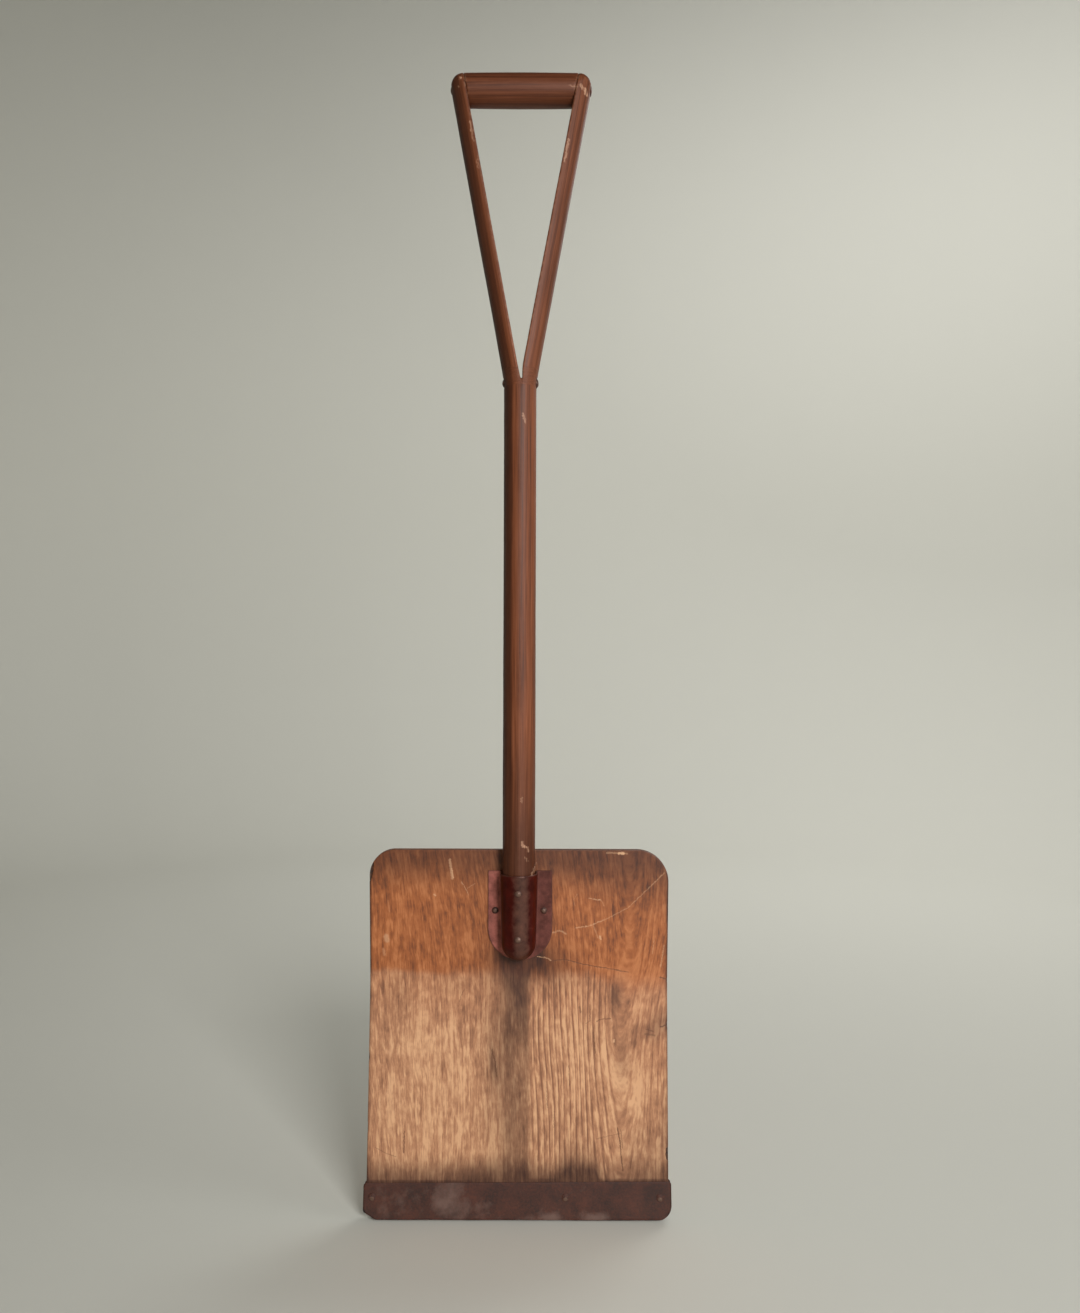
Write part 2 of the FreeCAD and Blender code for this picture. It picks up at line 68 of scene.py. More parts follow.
MM = 0.001  # one millimetre in Blender's metres
NODE_PREFIX = "ShaderNode"
COLOUR_RESULT = 2  # the mix node's output for colours
BAND_SHEET = 1.2 * MM
BAND_TOP_CORNER = 3 * MM
FACE_PLY = 2.5 * MM
LIP_CUT_WIDTH = 15 * MM
LIP_CUT_HEIGHT = 9 * MM
LIP_CORNER = 16 * MM
RING_SPACING = 6.6  # millimetres between year lines where they run straight
cad_box = [list(corner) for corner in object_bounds()]


# ---------------------------------------------------------------- colours and nodes
def linear(hex_code):
    """An sRGB hex colour as linear red, green and blue."""
    channels = [int(hex_code[i:i + 2], 16) / 255 for i in (1, 3, 5)]
    return tuple(c / 12.92 if c <= 0.04045 else ((c + 0.055) / 1.055) ** 2.4 for c in channels)


def add(tree, kind, inputs=None, **settings):
    """Adds a shader node, sets its properties, then fills or links its inputs.
    A node given for an input stands for its first output, or for the mixed colour if it mixes colours."""
    node = tree.nodes.new(NODE_PREFIX + kind)
    for name, value in settings.items():
        setattr(node, name, value)
    for name, value in (inputs or {}).items():
        socket = node.inputs[name]
        if isinstance(value, bpy.types.Node):
            value = value.outputs[COLOUR_RESULT if getattr(value, "data_type", "") == "RGBA" else 0]
        if isinstance(value, bpy.types.NodeSocket):
            tree.links.new(value, socket)
        elif socket.type == "RGBA" and len(value) == 3:
            socket.default_value = (*value, 1)
        else:
            socket.default_value = value
    return node


def start_material(name):
    """An empty node material with its output, and the tree to build it in."""
    material = bpy.data.materials.new(name)
    material.use_nodes = True
    material.node_tree.nodes.clear()
    return material, material.node_tree


def close_material(tree, shader):
    """Links the last shader to the output."""
    add(tree, "OutputMaterial", {"Surface": shader})


def set_stops(ramp, *stops):
    """Gives a colour ramp its stops, each a place from 0 to 1 and a linear colour, in order."""
    elements = ramp.color_ramp.elements
    for place, _ in stops[1:-1]:
        elements.new(place)
    for element, (place, shade) in zip(elements, stops):
        element.position = place
        element.color = (*shade, 1)


# ---------------------------------------------------------------- settings
def size(name, description, millimetres):
    """A length setting, given in millimetres."""
    return FloatProperty(name=name, description=description, default=millimetres * MM,
                         unit="LENGTH", subtype="DISTANCE", precision=4)


def colour(name, description, hex_code):
    """A colour setting, given as sRGB hex."""
    return FloatVectorProperty(name=name, description=description, subtype="COLOR", size=3,
                               min=0, max=1, default=linear(hex_code))


def power(name, description, watts):
    """A light's power, given in watts."""
    return FloatProperty(name=name, description=description, default=watts, min=0, unit="POWER")


class ShovelHandleSettings(bpy.types.PropertyGroup):
    """Ash handle and grip under old red-brown varnish."""
    wood_dark: colour("Pore brown", "Varnish gone dark in the open pores", "#33160A")
    wood_mid: colour("Varnish brown", "Old red-brown varnish on ash", "#743E22")
    wood_light: colour("Rubbed brown", "Varnish thinned by hands", "#95583A")
    # Also the colour of the painted highlights on the arms.
    bare: colour("Bare arris", "Wood rubbed bare along the edges", "#B88C70")
    grain_width: size("Grain width", "Distance between two dark pore lines across the handle", 1.5)
    voxel: size("Edge softness", "How far the handle's edges are rubbed round", 1.15)


class ShovelBladeSettings(bpy.types.PropertyGroup):
    """Bent three-ply blade."""
    top_width: size("Top width", "Blade width at its top edge", 355)
    lip_width: size("Lip width", "Blade width at its lip", 345)
    length: size("Length", "Length along the bent sheet", 416)
    bend_radius: size("Bend radius", "Radius of the bend in the blade's face", 260)
    bend_angle: FloatProperty(name="Bend", description="How far the lower blade leans forward",
                              default=math.radians(10), unit="ROTATION", subtype="ANGLE")
    left_corner: size("Left corner", "Radius of the top left corner", 31)
    right_corner: size("Right corner", "Radius of the top right corner", 38)
    arris: size("Worn arris", "Radius rubbed onto the outer plies' edges", 0.9)
    ring_dark: colour("Ring line", "Late wood lines in the bare veneer", "#8A5C41")
    bare_mid: colour("Bare veneer", "Veneer worn bare by grain", "#BA8460")
    bare_light: colour("Pale veneer", "Early wood in the bare veneer", "#DDAA80")
    varnish_dark: colour("Varnish in the pores", "Orange varnish over the ring lines", "#6E3A1E")
    varnish_mid: colour("Orange varnish", "Old varnish left on the upper blade", "#A35C2F")
    varnish_light: colour("Thin varnish", "Varnish over early wood", "#BE7646")
    # Multiplied into the face both where it is stained and where painted shade is laid.
    stain_and_shade: colour("Stain", "What dirt and iron stain leave of the wood's own colour", "#685750")
    chip: colour("Fresh chip", "Pale wood in chips and scratches", "#D8A880")
    core_dark: colour("Core's pores", "Dirt in the open fibres of the middle ply", "#2A1A12")
    core: colour("Core ply", "Dark middle ply at the edges", "#5A3520")


class ShovelSteelSettings(bpy.types.PropertyGroup):
    """Pressed steel socket, folded edge band and rivets."""
    band_left: size("Band height, left", "From the lip to the band's top edge at the left", 38)
    band_right: size("Band height, right", "From the lip to the band's top edge at the right", 40.5)
    paint: colour("Socket paint", "Dark red paint on the dome's sides", "#420B04")
    paint_faded: colour("Faded paint", "Chalky red paint on the flange", "#8E544A")
    worn: colour("Rubbed steel", "Brown patina where the paint is gone", "#5D382C")
    rust_dark: colour("Deep rust", "Deepest brown of the rust", "#32170D")
    rust: colour("Rust", "Even brown rust on the band", "#542A1B")
    dust: colour("Dust", "Pale dust held by the rust", "#71564C")
    rubbed: colour("Rubbed crown", "Brown steel bright on the rivets' crowns", "#7C6254")


class ShovelStageSettings(bpy.types.PropertyGroup):
    """Floor, lights and camera."""
    floor: colour("Floor", "Plain pale paper", "#D2D1C8")
    sky: colour("Room", "Light from all round", "#D8DAD6")
    sky_strength: FloatProperty(name="Room light", description="Strength of the light all round",
                                default=0.1, min=0)
    key_power: power("Key power", "Soft light in front, on the right", 27)
    side_power: power("Side power", "Wide soft light far on the right", 12)
    rear_power: power("Rear power", "Soft light behind, on the right", 16)
    backdrop_power: power("Backdrop power", "Light on the sweep behind", 46)


# ---------------------------------------------------------------- meshes
def new_piece(name, vertices, faces):
    """A mesh object in the scene."""
    mesh = bpy.data.meshes.new(name)
    mesh.from_pydata(vertices, [], faces)
    mesh.validate()
    mesh.update()
    mesh.shade_smooth()
    piece = bpy.data.objects.new(name, mesh)
    bpy.context.scene.collection.objects.link(piece)
    return piece


def set_attribute(mesh, name, values):
    """Stores one number or one vector for each vertex, for the materials to read."""
    values = np.asarray(values, np.float32)
    kind, field = ("FLOAT_VECTOR", "vector") if values.ndim == 2 else ("FLOAT", "value")
    layer = mesh.attributes.new(name, kind, "POINT")
    layer.data.foreach_set(field, values.ravel())


def points_of(mesh):
    """Vertex places as an array."""
    places = np.empty(len(mesh.vertices) * 3)
    mesh.vertices.foreach_get("co", places)
    return places.reshape(-1, 3)


def put_points(mesh, places):
    """Writes vertex places back."""
    mesh.vertices.foreach_set("co", np.asarray(places, np.float32).ravel())
    mesh.update()


def normals_of(mesh):
    """Vertex normals as an array."""
    values = np.empty(len(mesh.vertices) * 3)
    mesh.vertices.foreach_get("normal", values)
    return values.reshape(-1, 3)


def bumps(places, pitch, seed=0.0):
    """Smooth noise between -1 and 1 at each place; pitch is its size in metres, one or three numbers."""
    scaled = np.asarray(places) / np.asarray(pitch) + seed
    return np.array([noise.noise(Vector(p)) for p in scaled])


def arris_of(mesh):
    """From 0 in the flat to 1 on the sharpest outward edges, for wear."""
    places = points_of(mesh)
    edges = np.empty(len(mesh.edges) * 2, np.int64)
    mesh.edges.foreach_get("vertices", edges)
    edges = edges.reshape(-1, 2)
    total = np.zeros_like(places)
    count = np.zeros(len(places))
    for a, b in ((0, 1), (1, 0)):
        np.add.at(total, edges[:, a], places[edges[:, b]])
        np.add.at(count, edges[:, a], 1)
    inward = ((places - total / np.maximum(count, 1)[:, None]) * normals_of(mesh)).sum(1)
    for _ in range(2):
        spread = np.zeros(len(places))
        for a, b in ((0, 1), (1, 0)):
            np.add.at(spread, edges[:, a], inward[edges[:, b]])
        inward = (inward + spread / np.maximum(count, 1)) / 2
    top = np.percentile(inward, 99.5)
    return np.clip(inward / max(top, 1e-9), 0, 1)


def softened(node, name, voxel):
    """A copy of a CAD node with its edges rubbed round by a voxel remesh and a little smoothing."""
    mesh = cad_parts[node].data.copy()
    work = bmesh.new()
    work.from_mesh(mesh)
    bmesh.ops.remove_doubles(work, verts=work.verts, dist=0.002 * MM)
    work.to_mesh(mesh)
    work.free()
    mesh.materials.clear()
    piece = bpy.data.objects.new(name, mesh)
    bpy.context.scene.collection.objects.link(piece)
    remesh = piece.modifiers.new("remesh", "REMESH")
    remesh.mode = "VOXEL"
    remesh.voxel_size = voxel
    smooth = piece.modifiers.new("rub", "SMOOTH")
    smooth.factor = 0.5
    smooth.iterations = 2
    graph = bpy.context.evaluated_depsgraph_get()
    piece.data = bpy.data.meshes.new_from_object(piece.evaluated_get(graph))
    piece.data.name = name
    piece.modifiers.clear()
    piece.data.shade_smooth()
    return piece


def finish_piece(piece, material, slot, *nodes):
    """Gives a piece its material and its place in the frame, and hides the CAD nodes it stands for."""
    piece.data.materials.clear()
    piece.data.materials.append(material)
    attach(piece, "root")
    if nodes:
        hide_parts(*nodes)


# ---------------------------------------------------------------- blade shape
# Wood lost from the face's edges: side, -1 at the left, then distance down, length and depth in millimetres
BITES = [
    (-1, 26, 21, 3.5), (1, 346, 16, 3), (1, 203, 5, 1.2), (-1, 240, 9, 0.8), (1, 153, 4, 1),
    (-1, 318, 12, 0.7),
]


class BladeShape:
    """Where points of the bent sheet lie: across is x, down is measured along its face from the top edge."""

    def __init__(self, settings):
        low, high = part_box("blade_face_veneer")
        self.s = settings
        self.top_z = high.z
        self.ply = [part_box(n)[1].y for n in ("blade_face_veneer", "blade_core_ply", "blade_back_veneer")]
        self.face_y = self.ply[0] - FACE_PLY
        radius, angle = settings.bend_radius, settings.bend_angle
        self.lower = (self.face_y - low.y - radius * (1 - math.cos(angle))) / math.sin(angle)
        self.flat = settings.length - self.lower - radius * angle
        self.lip_z = self.at(0, settings.length, 0)[2]

    def at(self, across, down, depth):
        """The point at a distance down the face and a depth behind it."""
        radius, angle = self.s.bend_radius, self.s.bend_angle
        turn = min(max((down - self.flat) / radius, 0), angle)
        past = max(down - self.flat - radius * angle, 0)
        y = self.face_y - radius + (radius + depth) * math.cos(turn) - past * math.sin(turn)
        z = self.top_z - min(down, self.flat) - (radius + depth) * math.sin(turn) - past * math.cos(turn)
        return across, y, z

    def sides(self, down):
        """The left and right edge at a distance down, with the top and lip corners."""
        s = self.s
        height = self.top_z - self.at(0, down, 0)[2]
        share = height / (self.top_z - self.lip_z)
        half = (s.top_width + (s.lip_width - s.top_width) * share) / 2
        left, right = -half, half
        up = s.length - down
        left += corner_inset(height, s.left_corner) + LIP_CUT_WIDTH * max(0, 1 - up / LIP_CUT_HEIGHT)
        right -= corner_inset(height, s.right_corner) + corner_inset(up, LIP_CORNER)
        return left, right

    def rows(self, pitch):
        """Distances down the sheet, close together round the corners."""
        corner = max(self.s.left_corner, self.s.right_corner)
        steps = 22
        top = [corner * (1 - math.cos(math.radians(90 * i / steps))) for i in range(steps)]
        foot = [self.s.length - LIP_CORNER * (1 - math.cos(math.radians(9 * i))) for i in range(10, -1, -1)]
        count = max(2, round((foot[0] - corner) / pitch))
        middle = [corner + (foot[0] - corner) * i / count for i in range(count)]
        return top + middle + foot


def corner_inset(away, radius):
    """How far a rounded corner draws a side in, at a distance from the corner's end."""
    return radius - math.sqrt(radius ** 2 - (radius - away) ** 2) if away < radius else 0


def edge_loss(place, where, length, depth, seed):
    """How much of an edge is missing at a distance down: a ragged bite."""
    share = (place - where) / (length / 2)
    if abs(share) >= 1:
        return 0
    ragged = 1 + 0.45 * noise.noise(Vector((place / (3 * MM), seed, 0)))
    return depth * math.sqrt(1 - share * share) * ragged


def make_layer(name, shape, front, back, pitch, arris_front, arris_back, bites=()):
    """One ply: a closed bent sheet with rubbed edges. Bites are (side, down, length, depth)."""
    arris = shape.s.arris
    rounding = [arris * (1 - math.cos(math.radians(a))) for a in (0, 30, 60, 90)]
    rows = sorted(set(shape.rows(pitch) + rounding + [shape.s.length - r for r in rounding]))
    columns = max(4, round(shape.s.top_width / pitch))
    vertices, sheet = [], []
    for surface in (0, 1):
        rubbed = arris_front if surface == 0 else arris_back
        for down in rows:
            left, right = shape.sides(down)
            for side, where, length, depth in bites:
                loss = edge_loss(down, where, length, depth, side)
                left += loss if side < 0 else 0
                right -= loss if side > 0 else 0
            inner = [left + arris + (right - left - 2 * arris) * i / columns for i in range(columns + 1)]
            across = [left + r for r in rounding[:-1]] + inner + [right - r for r in reversed(rounding[:-1])]
            for x in across:
                near_side = max(0, 1 - min(x - left, right - x) / arris)
                near_top = max(0, 1 - min(down, shape.s.length - down) / arris)
                near = min(1, math.hypot(near_side, near_top)) if rubbed else 0
                drop = arris * (1 - math.sqrt(1 - near * near))
                depth = front + drop if surface == 0 else back - drop
                vertices.append(shape.at(x, down, depth))
                sheet.append((x, down, depth))
    stride = len(across)
    count = len(rows)
    other = stride * count
    faces = []
    for i in range(count - 1):
        for j in range(stride - 1):
            a = i * stride + j
            faces.append((a, a + stride, a + stride + 1, a + 1))
            faces.append((other + a, other + a + 1, other + a + stride + 1, other + a + stride))
    border = list(range(stride))
    border += [i * stride + stride - 1 for i in range(1, count)]
    border += [(count - 1) * stride + j for j in range(stride - 2, -1, -1)]
    border += [i * stride for i in range(count - 2, 0, -1)]
    for a, b in zip(border, border[1:] + border[:1]):
        faces.append((a, b, other + b, other + a))
    piece = new_piece(name, vertices, faces)
    set_attribute(piece.data, "sheet", sheet)
    return piece


def wave_layer(piece, front_only):
    """Lets the sheet wander a little, as old plywood does. Its hidden side stays flat."""
    places = points_of(piece.data)
    normal = normals_of(piece.data)
    wander = 0.35 * MM * bumps(places, 90 * MM, 3.1) + 0.10 * MM * bumps(places, 22 * MM, 8.4)
    outer = normal[:, 1] < -0.5 if front_only else normal[:, 1] > 0.5
    places[:, 1] += np.where(outer, wander, 0)
    put_points(piece.data, places)


# ---------------------------------------------------------------- wood materials
def soft_spot(sheet, across, down, wide, tall):
    """A round smudge, 1 in its middle. Lengths in millimetres."""
    x = (sheet[:, 0] / MM - across) / wide
    y = (sheet[:, 1] / MM - down) / tall
    return np.exp(-(x * x + y * y))


def smooth_step(value, low, high):
    """0 below low, 1 above high, smooth between."""
    t = np.clip((value - low) / (high - low), 0, 1)
    return t * t * (3 - 2 * t)


# Stains on the face and its paler spots: across, down, width, height in millimetres, then strength
CLOUDS = [
    (122, 246, 9, 20, 0.25), (-45, 366, 24, 14, 0.25), (114, 174, 7, 19, 0.62), (60, 345, 34, 30, 0.1),
    (168, 200, 14, 12, 0.5), (157, 213, 16, 10, 0.4), (-27, 256, 5, 16, 0.5), (-31, 238, 3, 14, 0.35),
    (-140, 172, 16, 26, 0.22), (-72, 160, 22, 12, 0.2), (150, 345, 24, 34, 0.32), (40, 140, 30, 22, 0.4),
    (150, 240, 26, 40, 0.06), (-20, 330, 30, 40, 0.08), (170, 330, 6, 50, 0.3),
]
PALE_SPOTS = [
    (141, 278, 11, 32, 0.34), (60, 270, 40, 80, 0.08), (-95, 290, 60, 80, 0.1), (-80, 168, 12, 12, 0.12),
    (105, 350, 12, 24, 0.1), (150, 190, 30, 45, -0.02), (112, 226, 8, 18, 0.14), (125, 132, 22, 20, 0.1),
    (-150, 200, 20, 50, -0.06),
]


def blade_weather(sheet):
    """How each point of the face has fared: varnish left, stain with painted shade in it, lighter or darker
    wood, raised grain.
    """
    x, y = sheet[:, 0] / MM, sheet[:, 1] / MM
    drift = bumps(sheet * [1, 0.3, 0], 7 * MM, 5.5)
    slow = bumps(sheet * [1, 0.6, 0], 45 * MM, 1.7)
    right = smooth_step(x, -50, 20)
    left_line = 150 + 0.03 * x + 2 * slow + 2.5 * drift
    right_line = 150 + 16 * smooth_step(x, 60, 150) + 8 * slow + 5 * drift
    line = left_line * (1 - right) + right_line * right
    blur = 7 + 7 * smooth_step(x, -95, -50) + 10 * smooth_step(x, 95, 125)
    varnish = 1 - smooth_step(y, line - blur, line + blur)
    varnish = np.maximum(varnish, 0.34 * (1 - smooth_step(y, line + 4, line + 75)))
    varnish = np.maximum(varnish, 0.35 * soft_spot(sheet, 160, 205, 34, 60))

    stripe = smooth_step(x, -28, -6) * (1 - smooth_step(x, 6 + 0.01 * y, 15 + 0.01 * y))
    stripe *= 0.88 - 0.3 * smooth_step(y, 180, 250) - 0.1 * smooth_step(y, 300, 350)
    stripe *= smooth_step(y, 118, 150)
    stripe += 0.42 * soft_spot(sheet, -26, 220, 16, 110)
    # Darker round the socket and below its tip: partly stain, partly painted shade of the socket and shaft.
    socket_stain_and_shade = 0.95 * soft_spot(sheet, 3, 128, 36, 24) + 0.3 * soft_spot(sheet, 0, 78, 46, 60)
    foot = 0.78 + 0.1 * smooth_step(x, -60, 60) - 0.3 * smooth_step(x, 90, 98)
    foot *= smooth_step(y, 342 + 8 * slow, 376) * (1 - 0.7 * np.clip(stripe, 0, 1))
    cloud = sum(share * soft_spot(sheet, cx, cy, wide, tall) for cx, cy, wide, tall, share in CLOUDS)
    cloud += 0.45 * smooth_step(x, 38, 62) * (1 - smooth_step(x, 82, 100)) * smooth_step(y, 318, 372)
    top = 0.7 + 0.12 * smooth_step(x, 0, 60)
    top *= 1 - smooth_step(y, 8 + 6 * slow, 60 + 34 * smooth_step(x, 40, 150))
    # Darker along the side edges: partly the dark ply edge, partly painted shadow along the outline.
    edges = 0.9 * smooth_step(np.abs(x) + 0.012 * y, 174, 177) * (0.55 + 0.45 * varnish)
    # Painted shadow: a dark line on the face just above the band's top edge.
    band_edge_shadow = 0.5 * smooth_step(y, 373.2 - 0.007 * x, 376.8 - 0.007 * x)
    stain_and_shade = (stripe + socket_stain_and_shade + cloud) * (0.92 + 0.18 * drift) + foot + top + edges + band_edge_shadow

    tone = sum(share * soft_spot(sheet, cx, cy, wide, tall) for cx, cy, wide, tall, share in PALE_SPOTS)
    tone += 0.14 * smooth_step(-x, 172, 176.5) * (1 - varnish)
    ridge = smooth_step(x, 6, 24) * (1 - smooth_step(x, 92, 128)) * (0.3 + 0.7 * smooth_step(y, 130, 170))
    ridge = ridge * (1 - 0.5 * smooth_step(y, 330, 376)) + 0.3 * smooth_step(x, 96, 130) + 0.16 * (1 - right)
    return {"varnish": varnish, "stain_and_shade": np.clip(stain_and_shade, 0, 1), "tone": tone, "ridge": ridge}


def stroke(tree, place, width, strength, points):
    """A mask that reaches its strength along a line through points, in millimetres, and ends at its width."""
    nearest = None
    for (ax, ay), (bx, by) in zip(points, points[1:]):
        start = Vector((ax, ay, 0)) * MM
        run = (Vector((bx, by, 0)) * MM) - start
        offset = add(tree, "VectorMath", {0: place, 1: start}, operation="SUBTRACT")
        along = add(tree, "VectorMath", {0: offset, 1: run / run.length_squared}, operation="DOT_PRODUCT")
        held = add(tree, "Clamp", {"Value": along.outputs["Value"]})
        foot = add(tree, "VectorMath", {0: run, "Scale": held}, operation="SCALE")
        gap = add(tree, "VectorMath", {0: offset, 1: foot}, operation="DISTANCE").outputs["Value"]
        if nearest is not None:
            gap = add(tree, "Math", {0: nearest, 1: gap}, operation="MINIMUM")
        nearest = gap
    return add(tree, "MapRange", {"Value": nearest, "From Min": width * MM, "From Max": width * MM * 0.3,
                                  "To Max": strength}, interpolation_type="SMOOTHSTEP")


def strongest(tree, masks):
    """The highest of several masks."""
    best = masks[0]
    for mask in masks[1:]:
        best = add(tree, "Math", {0: best, 1: mask}, operation="MAXIMUM")
    return best


# Marks on the face: width, strength, and points across and down from the top edge's middle, in millimetres
SCRATCHES = [
    (1.0, 0.9, [(68, 92), (82, 90), (102, 82)]), (0.9, 0.55, [(102, 82), (129, 68), (145, 53), (172, 27)]),
    (0.9, 1.0, [(83, 57), (97, 59)]), (0.9, 0.4, [(97, 59), (101, 66)]),
    (1.5, 0.7, [(40, 98), (48, 95), (56, 99)]), (0.8, 0.7, [(-68, 38), (-63, 46), (-60, 53)]),
    (0.8, 0.5, [(-61, 45), (-52, 40)]), (0.9, 0.9, [(22, 126), (32, 127), (38, 130)]),
    (1.0, 0.5, [(88, 89), (94, 104)]), (0.9, 0.5, [(160, 106), (158, 122)]),
    (1.0, 0.6, [(172, 112), (168, 138)]), (0.7, 0.4, [(-155, 60), (-153, 74)]),
    (0.8, 0.35, [(66, 66), (65, 58), (69, 52)]),
]
CHIPS = [
    (2.2, 0.5, [(-82, 12), (-79, 34)]), (1.4, 0.8, [(-80, 22), (-78, 33)]),
    (4.6, 0.55, [(-157, 103), (-156, 107)]), (2.4, 0.3, [(-160, 118), (-159, 124)]),
    (1.5, 0.7, [(-100, 53), (-99, 54)]), (2.2, 1.0, [(118, 3.5), (124, 4)]),
    (1.6, 0.35, [(104, 3), (128, 4)]), (1.6, 0.8, [(96, 102), (97, 105)]),
    (1.4, 0.9, [(112, 221), (112, 223)]),
]
CRACKS = [
    (0.8, 0.9, [(39, 131), (54, 129), (76, 135), (102, 139), (129, 144)]),
    (1.3, 0.9, [(167, 150), (177, 152)]), (1.4, 1.0, [(167, 206), (177, 203)]),
    (1.6, 0.6, [(149, 214), (160, 216)]), (1.0, 0.6, [(150, 209), (158, 211)]),
    (1.1, 1.0, [(115, 318), (118, 332), (119, 348), (121, 364)]), (0.8, 0.6, [(119, 320), (121, 340)]),
    (0.8, 0.45, [(91, 330), (108, 326), (120, 324)]), (0.8, 0.5, [(79, 203), (84, 199)]),
    (0.9, 0.7, [(92, 200), (96, 198), (108, 197)]), (0.8, 0.45, [(-164, 340), (-152, 346), (-140, 350)]),
    (0.9, 0.9, [(-31, 232), (-27, 246), (-25, 262)]), (1.6, 0.7, [(72, 184), (73, 190)]),
    (1.0, 0.7, [(84, 182), (84, 200)]), (1.0, 0.8, [(-131, 322), (-131, 345)]),
    (0.9, 0.8, [(88, 212), (90, 236)]), (0.8, 0.6, [(59, 250), (60, 272)]),
    (0.8, 0.6, [(33, 268), (34, 296)]), (0.8, 0.6, [(42, 300), (42, 318)]),
    (0.7, 0.5, [(-64, 164), (-68, 172), (-71, 184)]),
]


def ring_phase(tree, place):
    """How many year rings a point, in millimetres, is from the middle of the arches cut by the knife."""
    arch_middle, arch_width, climb = 125, 16, 95
    parts = add(tree, "SeparateXYZ", {0: place})
    lean = grain_noise(tree, place, 400, 260, 0.0, 40, -arch_middle)
    off = add(tree, "Math", {0: parts.outputs["X"], 1: lean}, operation="ADD")
    square = add(tree, "Math", {0: off, 1: off, 2: arch_width ** 2}, operation="MULTIPLY_ADD")
    root = add(tree, "Math", {0: square, 1: 0.5}, operation="POWER")
    far = add(tree, "Math", {0: root, 1: RING_SPACING}, operation="DIVIDE")
    fall = add(tree, "Math", {0: parts.outputs["Y"], 1: 1 / climb, 2: far}, operation="MULTIPLY_ADD")
    stretch = add(tree, "VectorMath", {0: place, 1: (1 / 60, 1 / 300, 1)}, operation="MULTIPLY")
    wobble = add(tree, "TexNoise", {"Vector": stretch, "Scale": 1.0, "Detail": 1.0})
    sway = add(tree, "Math", {0: wobble, 1: 2.6, 2: fall}, operation="MULTIPLY_ADD")
    return grain_noise(tree, place, 9, 110, 1.0, 0.35, sway)


def ring_lines(tree, phase):
    """1 on the pale early wood, 0 in the late wood's narrow dark line."""
    saw = add(tree, "Math", {0: phase}, operation="FRACT")
    ramp = add(tree, "ValToRGB", {"Fac": saw})
    levels = ((0, 0), (0.1, 0.25), (0.17, 0.8), (0.3, 1), (0.5, 0.7), (0.86, 0.5), (0.95, 0.2), (1, 0))
    set_stops(ramp, *((where, (level, level, level)) for where, level in levels))
    return add(tree, "RGBToBW", {0: ramp})


def grain_noise(tree, place, across, along, detail, gain, base):
    """Streaks of the given width and length in millimetres, centred on 0 and added to a base value."""
    stretch = add(tree, "VectorMath", {0: place, 1: (1 / across, 1 / along, 1)}, operation="MULTIPLY")
    streak = add(tree, "TexNoise", {"Vector": stretch, "Scale": 1.0, "Detail": detail, "Roughness": 0.6})
    centred = add(tree, "Math", {0: streak, 1: gain, 2: -gain / 2}, operation="MULTIPLY_ADD")
    return add(tree, "Math", {0: centred, 1: base}, operation="ADD")


